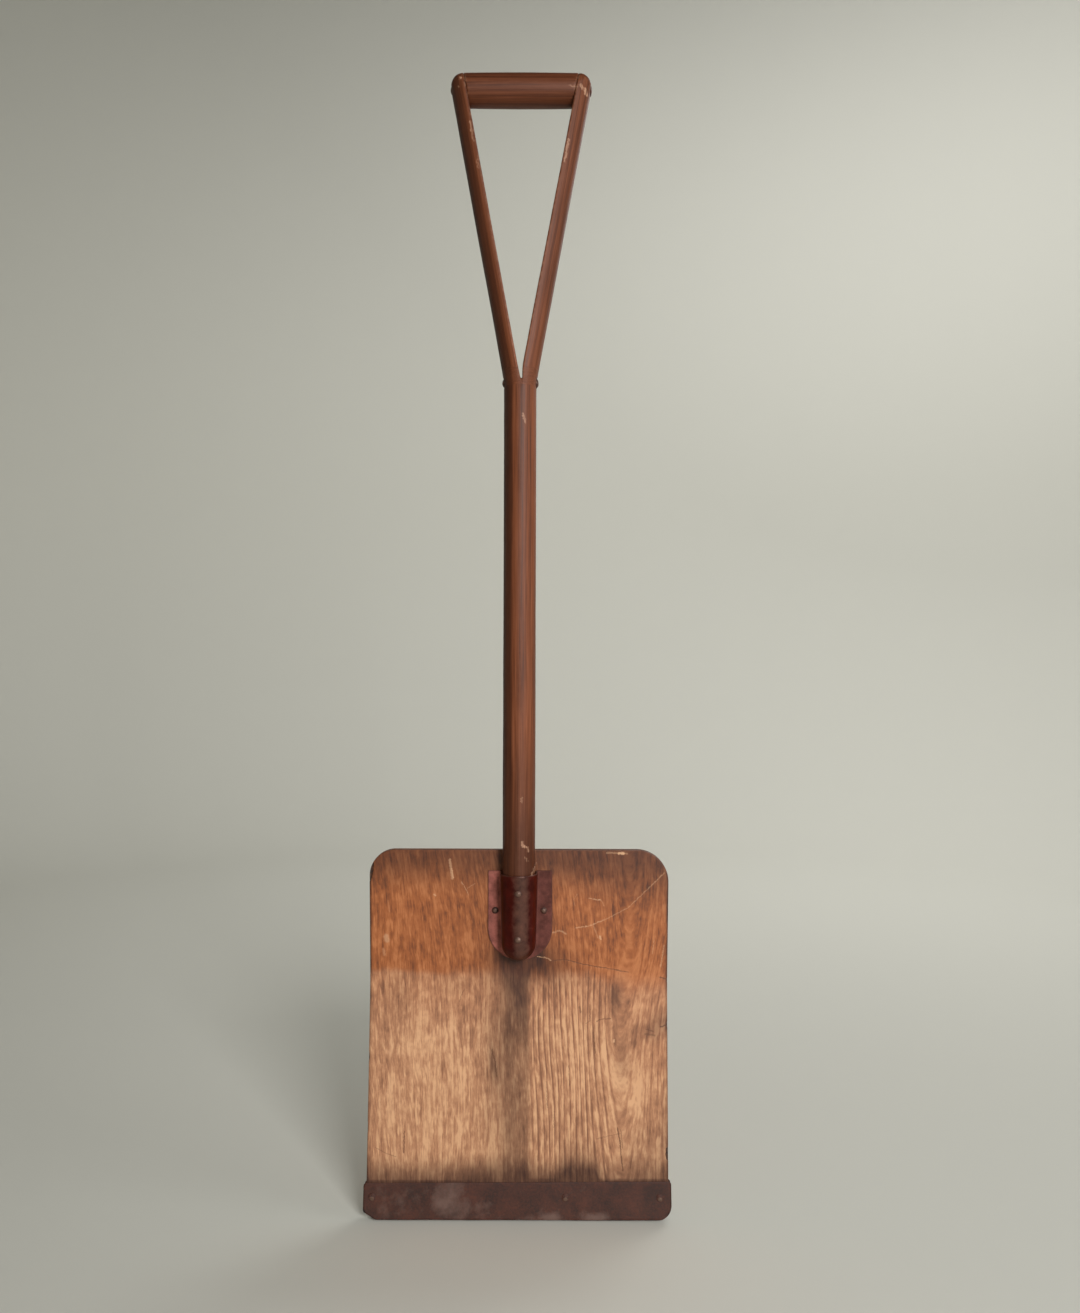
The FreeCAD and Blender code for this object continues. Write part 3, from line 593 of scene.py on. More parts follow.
def worn_veneer(s):
    """Rotary-cut veneer, varnished once, worn bare by grain: long broken fibres, satin above, dry below."""
    material, tree = start_material("worn_varnished_veneer")
    metres = add(tree, "Attribute", attribute_name="sheet").outputs["Vector"]
    place = add(tree, "VectorMath", {0: metres, "Scale": 1000.0}, operation="SCALE")
    varnish, stained_and_shaded, tone, ridge = (add(tree, "Attribute", attribute_name=name).outputs["Fac"]
                                     for name in ("varnish", "stain_and_shade", "tone", "ridge"))

    # fibres of 0.9 mm are drawn a little coarser than the veneer's own, which would not show
    phase = ring_phase(tree, place)
    along = add(tree, "SeparateXYZ", {0: place})
    across = add(tree, "Math", {0: phase, 1: RING_SPACING}, operation="MULTIPLY")
    side = add(tree, "Math", {0: along.outputs["X"], 1: 1 / 45}, operation="MULTIPLY")
    flow = add(tree, "CombineXYZ", {0: across, 1: along.outputs["Y"], 2: side})
    fibre = grain_noise(tree, flow, 0.9, 9, 3.0, 0.8, 0.5)
    grain = grain_noise(tree, flow, 2.2, 24, 3.0, 0.85, fibre)
    grain = grain_noise(tree, flow, 5, 40, 2.0, 1.1, grain)
    grain = grain_noise(tree, flow, 24, 60, 2.0, 0.9, grain)
    grain = grain_noise(tree, place, 9, 12, 4.0, 0.85, grain)
    fleck = grain_noise(tree, flow, 3.4, 15, 1.0, 1.0, 0.5)
    fleck = add(tree, "MapRange", {"Value": fleck, "From Min": 0.56, "From Max": 0.74, "To Max": 0.32})
    grain = add(tree, "Math", {0: grain, 1: fleck}, operation="ADD")
    lines = ring_lines(tree, phase)
    broken = grain_noise(tree, flow, 5, 50, 2.0, 2.0, 0.75)
    depth = add(tree, "Math", {0: ridge, 1: broken}, operation="MULTIPLY", use_clamp=True)
    carved = add(tree, "Math", {0: lines, 1: 0.68}, operation="SUBTRACT")
    grain = add(tree, "Math", {0: carved, 1: depth, 2: grain}, operation="MULTIPLY_ADD")
    grain = add(tree, "Math", {0: grain, 1: tone}, operation="ADD")

    tones = []
    for dark, middle, light in ((s.ring_dark, s.bare_mid, s.bare_light),
                                (s.varnish_dark, s.varnish_mid, s.varnish_light)):
        ramp = add(tree, "ValToRGB", {"Fac": grain})
        set_stops(ramp, (0.02, dark), (0.48, middle), (0.88, light))
        tones.append(ramp)
    skin = add(tree, "Mix", {"Factor": varnish, 6: tones[0], 7: tones[1]}, data_type="RGBA")

    # The face is darkened by stain and by painted shade: along the band's top edge, along the side edges and
    # round the socket.
    grime = grain_noise(tree, flow, 4, 36, 3.0, 0.45, 0.95)
    dirt_and_shade = add(tree, "Math", {0: stained_and_shaded, 1: grime}, operation="MULTIPLY")
    dirt_and_shade = add(tree, "Math", {0: dirt_and_shade, 1: 1.0}, operation="MULTIPLY", use_clamp=True)
    skin = add(tree, "Mix", {"Factor": dirt_and_shade, 6: skin, 7: s.stain_and_shade}, data_type="RGBA", blend_type="MULTIPLY")

    wander = add(tree, "TexNoise", {"Vector": place, "Scale": 0.42, "Detail": 2.0})
    shift = add(tree, "VectorMath", {0: wander.outputs["Color"], 1: (0.5, 0.5, 0.5)}, operation="SUBTRACT")
    shift = add(tree, "VectorMath", {0: shift, 1: (2.6, 2.6, 0)}, operation="MULTIPLY")
    ragged = add(tree, "VectorMath", {0: place, 1: shift}, operation="ADD")
    flat = add(tree, "VectorMath", {0: ragged, 1: (MM, MM, 0)}, operation="MULTIPLY")
    scratch = strongest(tree, [stroke(tree, flat, *mark) for mark in SCRATCHES])
    worn = add(tree, "MapRange", {"Value": wander, "From Min": 0.35, "From Max": 0.6,
                                  "To Min": 0.3, "To Max": 0.8})
    scratch = add(tree, "Math", {0: scratch, 1: worn}, operation="MULTIPLY")
    chip = strongest(tree, [stroke(tree, flat, *mark) for mark in CHIPS])
    crack = strongest(tree, [stroke(tree, flat, *mark) for mark in CRACKS])
    for mask, shade, share in ((scratch, s.chip, 0.9), (chip, s.chip, 0.9), (crack, s.core, 0.75)):
        amount = add(tree, "Math", {0: mask, 1: share}, operation="MULTIPLY")
        skin = add(tree, "Mix", {"Factor": amount, 6: skin, 7: shade}, data_type="RGBA")

    rough = add(tree, "MapRange", {"Value": varnish, "To Min": 0.72, "To Max": 0.42})
    rough = add(tree, "Math", {0: fibre, 1: 0.12, 2: rough}, operation="MULTIPLY_ADD")
    hollow = add(tree, "Math", {0: crack, 1: -1.2, 2: grain}, operation="MULTIPLY_ADD")
    hollow = add(tree, "Math", {0: chip, 1: -0.6, 2: hollow}, operation="MULTIPLY_ADD")
    relief = add(tree, "Bump", {"Height": hollow, "Strength": 0.4, "Distance": 0.16 * MM})
    shader = add(tree, "BsdfPrincipled", {"Base Color": skin, "Roughness": rough,
                                          "IOR": 1.5, "Normal": relief})
    close_material(tree, shader)
    return material


def ply_edge(name, dark, light, scale):
    """Bare birch ply: fine long fibres, dry and open at the sawn edges."""
    material, tree = start_material(name)
    place = add(tree, "Attribute", attribute_name="sheet").outputs["Vector"]
    fibre_place = add(tree, "VectorMath", {0: place, 1: scale}, operation="MULTIPLY")
    fibre = add(tree, "TexNoise", {"Vector": fibre_place, "Scale": 1.0, "Detail": 4.0})
    ramp = add(tree, "ValToRGB", {"Fac": fibre})
    set_stops(ramp, (0.3, dark), (0.72, light))
    relief = add(tree, "Bump", {"Height": fibre, "Strength": 0.5, "Distance": 0.3 * MM})
    shader = add(tree, "BsdfPrincipled", {"Base Color": ramp, "Roughness": 0.75,
                                          "IOR": 1.5, "Normal": relief})
    close_material(tree, shader)
    return material


def rubbed_spots_and_highlights(tree):
    """A mask of the places on the handle's front where hands and knocks have bared the wood, with painted
    highlights among them.
    """
    spot = add(tree, "TexCoord").outputs["Object"]
    wander = add(tree, "TexNoise", {"Vector": spot, "Scale": 330.0, "Detail": 3.0})
    shift = add(tree, "VectorMath", {0: wander.outputs["Color"], 1: (0.5, 0.5, 0.5)}, operation="SUBTRACT")
    shift = add(tree, "VectorMath", {0: shift, "Scale": 6 * MM}, operation="SCALE")
    parts = add(tree, "SeparateXYZ", {0: spot})
    flat = add(tree, "CombineXYZ", {0: parts.outputs["X"], 1: parts.outputs["Z"]})
    ragged = add(tree, "VectorMath", {0: flat, 1: shift}, operation="ADD")
    held = add(tree, "VectorMath", {0: ragged, 1: (1, 1, 0)}, operation="MULTIPLY")
    mask = strongest(tree, [stroke(tree, held, *mark) for mark in WEAR_AND_HIGHLIGHTS])
    front = add(tree, "Math", {0: parts.outputs["Y"], 1: 0.0}, operation="LESS_THAN")
    return add(tree, "Math", {0: mask, 1: front}, operation="MULTIPLY")


# Bare places on the handle's front, with painted highlights among them: width, strength, and points across
# and up from the grip, in millimetres
WEAR_AND_HIGHLIGHTS = [
    (2.2, 0.8, [(4, -386), (6, -394)]), (1.6, 0.5, [(4, -829), (3, -833)]),
    (2.2, 0.95, [(4, -879), (5, -884), (10, -885)]), (1.8, 0.8, [(10, -885), (11, -890)]),
    (2.2, 0.8, [(21, -906), (15, -919)]), (1.6, 0.4, [(8, -897), (10, -901)]),
    (1.6, 0.5, [(56, -3), (65, -5)]), (2.4, 0.9, [(69, -2), (71, -5)]), (2.6, 1.0, [(74, -5), (76, -11)]),
    # Painted highlights: two pale dots on the left arm's front where the gloss caught the light.
    (1.3, 1.0, [(-70, 8), (-70, 5)]), (1.2, 0.7, [(-73, -3), (-72, -4)]),
    # Streaks on the arms' inner edges: partly wood rubbed bare, partly painted highlight where those edges
    # catch the light.
    (1.5, 0.75, [(-59, -45), (-54.5, -68)]), (1.4, 0.6, [(-51, -89), (-49, -100)]),
    (1.6, 0.75, [(55.5, -66), (50.5, -92)]),
]


def varnished_ash(s, name):
    """Ash, shaved round and varnished: dark open pores along the grain, pale where edges are rubbed bare."""
    material, tree = start_material(name)
    place = add(tree, "Attribute", attribute_name="grain").outputs["Vector"]
    arris, soil_and_shade = (add(tree, "Attribute", attribute_name=name).outputs["Fac"] for name in ("arris", "soil_and_shade"))
    # The mask holds bare wood and the painted highlights on the arms.
    bare = rubbed_spots_and_highlights(tree)
    across = 1 / s.grain_width
    pore_place = add(tree, "VectorMath", {0: place, 1: (across * 1.6, across * 1.6, 14)},
                     operation="MULTIPLY")
    pores = add(tree, "TexNoise", {"Vector": pore_place, "Scale": 1.0, "Detail": 4.0, "Roughness": 0.65})
    band_place = add(tree, "VectorMath", {0: place, 1: (across * 0.35, across * 0.35, 3.5)},
                     operation="MULTIPLY")
    bands = add(tree, "TexNoise", {"Vector": band_place, "Scale": 1.0, "Detail": 2.0})
    mix = add(tree, "Mix", {"Factor": 0.45, 2: pores, 3: bands})
    ramp = add(tree, "ValToRGB", {"Fac": mix})
    set_stops(ramp, (0.3, s.wood_dark), (0.5, s.wood_mid), (0.68, s.wood_light))
    # Darkens toward pore brown where the attribute holds dirt on the lower shaft and painted shade on the
    # left-facing sides, the arms and the grip.
    dirt_and_shade = add(tree, "Math", {0: soil_and_shade, 1: 0.7}, operation="MULTIPLY", use_clamp=True)
    skin = add(tree, "Mix", {"Factor": dirt_and_shade, 6: ramp, 7: s.wood_dark}, data_type="RGBA")
    fibres = add(tree, "MapRange", {"Value": pores, "From Min": 0.4, "From Max": 0.56})
    bare = add(tree, "Math", {0: bare, 1: fibres}, operation="MULTIPLY")
    patchy = add(tree, "TexNoise", {"Vector": place, "Scale": 160.0, "Detail": 3.0})
    rubbed = add(tree, "MapRange", {"Value": patchy, "From Min": 0.45, "From Max": 0.65, "To Max": 0.35})
    rubbed = add(tree, "Math", {0: rubbed, 1: arris}, operation="MULTIPLY")
    rubbed = add(tree, "Math", {0: rubbed, 1: bare}, operation="MAXIMUM", use_clamp=True)
    skin = add(tree, "Mix", {"Factor": rubbed, 6: skin, 7: s.bare}, data_type="RGBA")
    rough = add(tree, "MapRange", {"Value": pores, "To Min": 0.36, "To Max": 0.66})
    relief = add(tree, "Bump", {"Height": pores, "Strength": 0.45, "Distance": 0.3 * MM})
    shader = add(tree, "BsdfPrincipled", {"Base Color": skin, "Roughness": rough,
                                          "IOR": 1.5, "Specular IOR Level": 0.28,
                                          "Normal": relief})
    close_material(tree, shader)
    return material


# ---------------------------------------------------------------- steel materials
def rusted_steel(s, name):
    """Mild steel, rusted all over and rubbed by grain: close brown rust, pale dust, satin in patches."""
    material, tree = start_material(name)
    place = add(tree, "TexCoord").outputs["Object"]
    wide = add(tree, "TexNoise", {"Vector": place, "Scale": 34.0, "Detail": 5.0, "Roughness": 0.6})
    close = add(tree, "TexNoise", {"Vector": place, "Scale": 420.0, "Detail": 4.0, "Roughness": 0.65})
    dusty = add(tree, "TexNoise", {"Vector": place, "Scale": 21.0, "Detail": 6.0, "Roughness": 0.7})
    mottle = add(tree, "Mix", {"Factor": 0.5, 2: wide, 3: close})
    ramp = add(tree, "ValToRGB", {"Fac": mottle})
    set_stops(ramp, (0.4, s.rust_dark), (0.62, s.rust))
    patch = add(tree, "Attribute", attribute_name="dust").outputs["Fac"]
    held = add(tree, "Math", {0: patch, 1: 0.3, 2: dusty}, operation="MULTIPLY_ADD")
    dust = add(tree, "MapRange", {"Value": held, "From Min": 0.56, "From Max": 0.8, "To Max": 0.8})
    skin = add(tree, "Mix", {"Factor": dust, 6: ramp, 7: s.dust}, data_type="RGBA")
    rough = add(tree, "MapRange", {"Value": close, "To Min": 0.5, "To Max": 0.8})
    relief = add(tree, "Bump", {"Height": mottle, "Strength": 0.6, "Distance": 0.4 * MM})
    shader = add(tree, "BsdfPrincipled", {"Base Color": skin, "Roughness": rough, "Normal": relief})
    close_material(tree, shader)
    return material


def rubbed_rivet(s):
    """Soft iron rivet, hammered and rusted: dark round its foot, brown steel rubbed bright on the crown."""
    material, tree = start_material("rubbed_iron_rivet")
    place = add(tree, "TexCoord").outputs["Object"]
    raised = add(tree, "Attribute", attribute_name="crown").outputs["Fac"]
    close = add(tree, "TexNoise", {"Vector": place, "Scale": 600.0, "Detail": 4.0})
    ramp = add(tree, "ValToRGB", {"Fac": close})
    set_stops(ramp, (0.35, s.rust_dark), (0.65, s.rust))
    crown = add(tree, "Math", {0: raised, 1: close}, operation="MULTIPLY")
    crown = add(tree, "Math", {0: crown, 1: 1.5}, operation="MULTIPLY", use_clamp=True)
    skin = add(tree, "Mix", {"Factor": crown, 6: ramp, 7: s.rubbed}, data_type="RGBA")
    metal = add(tree, "Math", {0: crown, 1: 0.6}, operation="MULTIPLY")
    rough = add(tree, "MapRange", {"Value": crown, "To Min": 0.7, "To Max": 0.36})
    relief = add(tree, "Bump", {"Height": close, "Strength": 0.4, "Distance": 0.25 * MM})
    shader = add(tree, "BsdfPrincipled", {"Base Color": skin, "Metallic": metal,
                                          "Roughness": rough, "Normal": relief})
    close_material(tree, shader)
    return material


def socket_paint(s):
    """Pressed steel, dipped in dark red enamel: glossy on the dome's sides, chalky on the flange with
    painted light on its left and painted shade on its right, and rubbed to brown steel along its crown."""
    material, tree = start_material("rubbed_red_enamel")
    place = add(tree, "TexCoord").outputs["Object"]
    crown, flange, arris, chalk_and_light = (add(tree, "Attribute", attribute_name=name).outputs["Fac"]
                                   for name in ("crown", "flange", "arris", "chalk_and_light"))
    patch = add(tree, "TexNoise", {"Vector": place, "Scale": 110.0, "Detail": 5.0, "Roughness": 0.6})
    close = add(tree, "TexNoise", {"Vector": place, "Scale": 520.0, "Detail": 4.0})
    ragged = add(tree, "Math", {0: patch, 1: 1.3, 2: -0.65}, operation="MULTIPLY_ADD")
    edge = add(tree, "Math", {0: crown, 1: ragged}, operation="ADD")
    worn = add(tree, "MapRange", {"Value": edge, "From Min": 0.2, "From Max": 0.9})
    tone = add(tree, "MapRange", {"Value": patch, "From Min": 0.3, "From Max": 0.7,
                                  "To Min": 0.55, "To Max": 1.25})
    paint = add(tree, "VectorMath", {0: s.paint, "Scale": tone}, operation="SCALE")
    # Painted light on the left flange next to the dome, where the dome's shadow falls, and painted shade on
    # the right flange, on top of the paint's own chalky change.
    chalk_and_light_scale = add(tree, "MapRange", {"Value": chalk_and_light, "To Min": 0.5, "To Max": 2.2})
    chalk_and_light_scale = add(tree, "Math", {0: chalk_and_light_scale, 1: tone}, operation="MULTIPLY")
    faded_paint_and_light = add(tree, "VectorMath", {0: s.paint_faded, "Scale": chalk_and_light_scale}, operation="SCALE")
    steel = add(tree, "VectorMath", {0: s.worn, "Scale": tone}, operation="SCALE")
    skin = add(tree, "Mix", {"Factor": flange, 6: paint, 7: faded_paint_and_light}, data_type="RGBA")
    bare = add(tree, "Math", {0: worn, 1: arris}, operation="MAXIMUM")
    skin = add(tree, "Mix", {"Factor": bare, 6: skin, 7: steel}, data_type="RGBA")
    metal = add(tree, "Math", {0: bare, 1: 0.45}, operation="MULTIPLY")
    gloss = add(tree, "MapRange", {"Value": flange, "To Min": 0.24, "To Max": 0.62})
    shine = add(tree, "MapRange", {"Value": bare, "To Min": 0.12, "To Max": 0.6})
    rough = add(tree, "Math", {0: close, 1: 0.2, 2: gloss}, operation="MULTIPLY_ADD")
    relief = add(tree, "Bump", {"Height": close, "Strength": 0.35, "Distance": 0.25 * MM})
    shader = add(tree, "BsdfPrincipled", {"Base Color": skin, "Metallic": metal,
                                          "Roughness": rough, "Specular IOR Level": shine,
                                          "Normal": relief})
    close_material(tree, shader)
    return material


# ---------------------------------------------------------------- wooden pieces
def follow_grain(places):
    """Places measured along the grain: up the shaft, then up each leaning arm."""
    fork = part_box("fork_rivet")[0].z
    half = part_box("grip_rivet_burr")[0].x
    lean = math.atan2(half - 19 * MM, -fork)
    up = np.maximum(places[:, 2] - fork, 0)
    side = np.sign(places[:, 0])
    across = places[:, 0] - side * up * math.tan(lean)
    return np.stack([across + 0.2 * side * np.minimum(up / (20 * MM), 1), places[:, 1], places[:, 2]], 1)


def wood_weather(piece, long_grain):
    """Grain, dirt, painted shade and bare spots for a wooden piece."""
    places = points_of(piece.data)
    set_attribute(piece.data, "arris", arris_of(piece.data) ** 1.5)
    grain = follow_grain(places) if long_grain else places[:, [1, 2, 0]]
    # Painted shade: sides facing left are darkened as if lit from the right, and the arms and grip above the
    # fork are darkened; a piece without long grain gets a little painted shade all over.
    painted_shade = 1.1 * smooth_step(-normals_of(piece.data)[:, 0], 0.32, 0.62) if long_grain else 0.1
    painted_shade = painted_shade + 0.3 * smooth_step(places[:, 2], -0.33, -0.25)
    soil_and_shade = 0.8 * smooth_step(-places[:, 2], 0.74, 0.92) + 0.35 * (0.5 + 0.5 * bumps(places, 60 * MM, 2.2))
    # Dirt on the lower shaft and the painted shade are stored together in one attribute.
    set_attribute(piece.data, "soil_and_shade", np.clip(soil_and_shade + painted_shade, 0, 1))
    set_attribute(piece.data, "grain", grain)


def shave(piece, amount):
    """Slight flats and hollows left by shaving and use."""
    places = points_of(piece.data)
    normal = normals_of(piece.data)
    wander = bumps(places, (16 * MM, 16 * MM, 90 * MM), 1.3)
    wander += 0.35 * bumps(places, (5 * MM, 5 * MM, 24 * MM), 6.1)
    put_points(piece.data, places + normal * (amount * wander)[:, None])


def open_fork(piece):
    """Draws the bottom of the fork down to its rivet, a little off the middle, as the split has run."""
    places = points_of(piece.data)
    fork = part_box("fork_rivet")[0].z
    near = np.exp(-(places[:, 0] / (4 * MM)) ** 2 - ((places[:, 2] - fork - 8 * MM) / (10 * MM)) ** 2)
    places[:, 2] -= 7 * MM * near
    places[:, 0] += 2 * MM * near
    put_points(piece.data, places)


def make_splinter():
    """A splinter that lifts off the shaft's right side just above the socket."""
    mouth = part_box("socket")[1].z
    path = [(15.5, 1, 1.3), (16.8, 5, 1.5), (18.4, 9, 1.2), (20.2, 12, 0.8), (20.8, 14.5, 0.3)]
    vertices = []
    for x, up, wide in path:
        front = -math.sqrt(max(0, 19.4 ** 2 - min(x, 19) ** 2)) - 0.1 * up
        for side, out in ((-1, 0), (0, -0.35), (1, 0), (0, 0.35)):
            vertices.append(Vector((x + side * wide / 2, front + out, up)) * MM + Vector((0, 0, mouth)))
    faces = [(4 * k + i, 4 * k + (i + 1) % 4, 4 * k + 4 + (i + 1) % 4, 4 * k + 4 + i)
             for k in range(len(path) - 1) for i in range(4)]
    faces += [(3, 2, 1, 0), tuple(4 * (len(path) - 1) + i for i in range(4))]
    return new_piece("ash_splinter", vertices, faces)


class SHOVEL_OT_handle(bpy.types.Operator):
    """Ash shaft with its two split arms"""
    bl_idname = "shovel.handle"
    bl_label = "Handle"

    def execute(self, context):
        s = context.scene.shovel_handle
        piece = softened("handle", "ash_handle", s.voxel)
        open_fork(piece)
        shave(piece, 0.22 * MM)
        wood_weather(piece, True)
        material = varnished_ash(s, "varnished_ash")
        finish_piece(piece, material, "handle_ash", "handle")
        splinter = make_splinter()
        wood_weather(splinter, True)
        finish_piece(splinter, material, "handle_ash")
        return {"FINISHED"}


class SHOVEL_OT_grip(bpy.types.Operator):
    """Turned ash cross grip"""
    bl_idname = "shovel.grip"
    bl_label = "Grip"

    def execute(self, context):
        s = context.scene.shovel_handle
        piece = softened("grip", "turned_grip", s.voxel)
        wood_weather(piece, False)
        finish_piece(piece, varnished_ash(s, "turned_varnished_ash"), "grip_ash", "grip")
        return {"FINISHED"}


class SHOVEL_OT_blade(bpy.types.Operator):
    """Bent three-ply blade: face veneer, core and back veneer"""
    bl_idname = "shovel.blade"
    bl_label = "Blade"

    def execute(self, context):
        s = context.scene.shovel_blade
        shape = BladeShape(s)
        front, core = FACE_PLY, shape.ply[1] - shape.face_y
        back = shape.ply[2] - shape.face_y
        bites = [(side, down * MM, length * MM, depth * MM) for side, down, length, depth in BITES]
        face = make_layer("face_veneer", shape, 0, front, 2 * MM, True, False, bites)
        wave_layer(face, True)
        sheet = np.empty(len(face.data.vertices) * 3, np.float32)
        face.data.attributes["sheet"].data.foreach_get("vector", sheet)
        for name, values in blade_weather(sheet.reshape(-1, 3)).items():
            set_attribute(face.data, name, values)
        finish_piece(face, worn_veneer(s), "blade_face", "blade_face_veneer")
        middle = make_layer("core_ply", shape, front, core, 6 * MM, False, False)
        finish_piece(middle, ply_edge("sawn_core_ply", s.core_dark, s.core, (300, 300, 900)), "blade_core",
                     "blade_core_ply")
        rear = make_layer("back_veneer", shape, core, back, 3 * MM, False, True)
        wave_layer(rear, False)
        finish_piece(rear, ply_edge("varnished_back_veneer", s.varnish_dark, s.varnish_light, (420, 12, 1)),
                     "blade_back", "blade_back_veneer")
        return {"FINISHED"}


# ---------------------------------------------------------------- steel pieces
class SHOVEL_OT_socket(bpy.types.Operator):
    """Pressed steel socket on the blade's face"""
    bl_idname = "shovel.socket"
    bl_label = "Socket"

    def execute(self, context):
        s = context.scene.shovel_steel
        piece = softened("socket", "pressed_socket", 0.65 * MM)
        mesh = piece.data
        places = points_of(mesh)
        normal = normals_of(mesh)
        put_points(mesh, places + normal * (0.12 * MM * bumps(places, 9 * MM, 4.0))[:, None])
        low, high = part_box("socket")
        across = np.abs(places[:, 0] / MM - 3.3)
        front = places[:, 1] < low.y + 14 * MM
        set_attribute(mesh, "crown", np.where(front, 1 - smooth_step(across, 1, 15), 0))
        set_attribute(mesh, "flange", smooth_step(places[:, 1], high.y - 5 * MM, high.y - 3.2 * MM))
        # Paler on the left flange, most of all next to the dome, and darker on the right: partly the paint's
        # chalky fading, partly painted light against the dome's shadow and painted shade on the right.
        set_attribute(mesh, "chalk_and_light", 0.34 + 0.4 * smooth_step(places[:, 0] / MM, -36, -26)
                      - 0.74 * smooth_step(places[:, 0] / MM, -10, 20))
        set_attribute(mesh, "arris", arris_of(mesh) * 0.7)
        finish_piece(piece, socket_paint(s), "socket_steel", "socket")
        return {"FINISHED"}


class SHOVEL_OT_back_plate(bpy.types.Operator):
    """Steel plate behind the blade"""
    bl_idname = "shovel.back_plate"
    bl_label = "Back plate"

    def execute(self, context):
        s = context.scene.shovel_steel
        piece = softened("back_plate", "riveting_plate", 0.8 * MM)
        finish_piece(piece, rusted_steel(s, "rusted_plate"), "plate_steel", "back_plate")
        return {"FINISHED"}


def band_loop(height, thick, sheet):
    """The folded strip's section as (up from the lip, depth behind the face): outside, rim, inside, rim."""
    half = sheet / 2
    leg = [height - half] + [height * i / 22 for i in range(21, 0, -1)]
    turns = [math.radians(a) for a in (0, 30, 60, 90)]
    middle = [((up, -half), (0, -1)) for up in leg]
    middle += [((-half * math.sin(a), -half * math.cos(a)), (-math.sin(a), -math.cos(a))) for a in turns]
    middle += [((-half, thick / 2), (-1, 0))]
    middle += [((-half * math.cos(a), thick + half * math.sin(a)), (-math.cos(a), math.sin(a)))
               for a in turns]
    middle += [((up, thick + half), (0, 1)) for up in reversed(leg)]
    outside = [(p[0] + n[0] * half, p[1] + n[1] * half) for p, n in middle]
    inside = [(p[0] - n[0] * half, p[1] - n[1] * half) for p, n in middle]
    back_rim = [(height - half + half * math.sin(a), thick + half + half * math.cos(a)) for a in
                (math.radians(45), math.radians(90), math.radians(135))]
    front_rim = [(up, thick - depth) for up, depth in reversed(back_rim)]
    return outside + back_rim + inside[::-1] + front_rim


def make_folded_band(s, shape):
    """The steel strip folded over the lip, a little dented and bowed by years of work."""
    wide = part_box("edge_band")[1].x
    thick = shape.ply[2] - shape.face_y
    columns = 200
    low = band_loop(s.band_left, thick, BAND_SHEET)
    high = band_loop(s.band_right, thick, BAND_SHEET)
    vertices = []
    for (low_up, depth), (high_up, _) in zip(low, high):
        above = (low_up + high_up) / 2 + BAND_SHEET
        left = LIP_CUT_WIDTH * max(0, 1 - above / LIP_CUT_HEIGHT)
        left += corner_inset((s.band_left - low_up), BAND_TOP_CORNER)
        right = corner_inset(above, LIP_CORNER) + corner_inset(s.band_right - high_up, BAND_TOP_CORNER)
        for i in range(columns + 1):
            x = -wide + left + (2 * wide - left - right) * i / columns
            up = low_up + (high_up - low_up) * i / columns
            dent = 0.35 * MM * noise.noise(Vector((x, up, 0)) / (38 * MM)) * (-1 if depth < thick / 2 else 1)
            bow = 0.6 * MM * noise.noise(Vector((x / (110 * MM), 4.2, 0))) * max(0, 1 - above / (20 * MM))
            vertices.append(shape.at(x, shape.s.length - up + bow, depth + dent))
    ring = len(low)
    stride = columns + 1
    faces = []
    for k in range(ring):
        for i in range(columns):
            a = k * stride + i
            b = ((k + 1) % ring) * stride + i
            faces.append((a, a + 1, b + 1, b))
    faces.append([k * stride for k in range(ring)])
    faces.append([k * stride + columns for k in range(ring - 1, -1, -1)])
    return new_piece("folded_band", vertices, faces)


class SHOVEL_OT_edge_band(bpy.types.Operator):
    """Folded steel band round the lip"""
    bl_idname = "shovel.edge_band"
    bl_label = "Edge band"

    def execute(self, context):
        s = context.scene.shovel_steel
        shape = BladeShape(context.scene.shovel_blade)
        piece = make_folded_band(s, shape)
        places = points_of(piece.data)
        up = (places[:, 2] - places[:, 2].min()) / MM
        x = places[:, 0] / MM
        spots = [(-78, 18, 20, 26, 0.9), (42, 5, 10, 6, 1.0), (90, 5, 16, 6, 0.8), (10, 4, 30, 4, 0.35),
                 (-30, 10, 26, 12, 0.3), (-150, 8, 16, 8, 0.25), (140, 6, 14, 5, 0.35)]
        dust = sum(share * np.exp(-((x - cx) / wide) ** 2 - ((up - cy) / tall) ** 2)
                   for cx, cy, wide, tall, share in spots)
        set_attribute(piece.data, "dust", np.clip(dust, 0, 1))
        finish_piece(piece, rusted_steel(s, "rusted_band"), "band_steel", "edge_band")
        return {"FINISHED"}


class SHOVEL_OT_rivets(bpy.types.Operator):
    """Rivets and their burrs"""
    bl_idname = "shovel.rivets"
    bl_label = "Rivets"

    def execute(self, context):
        material = rubbed_rivet(context.scene.shovel_steel)
        for node in sorted(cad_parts):
            if "rivet" not in node:
                continue
            piece = softened(node, node + "_hammered", 0.4 * MM)
            mesh = piece.data
            places = points_of(mesh)
            normal = normals_of(mesh)
            put_points(mesh, places + normal * (0.18 * MM * bumps(places, 2.6 * MM, 0.7))[:, None])
            low, high = (np.array(corner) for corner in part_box(node))
            outward = np.abs((places - (low + high) / 2) / ((high - low) / 2)).max(1)
            set_attribute(mesh, "crown", smooth_step(outward, 0.93, 1.0))
            finish_piece(piece, material, "rivet_steel", node)
        return {"FINISHED"}


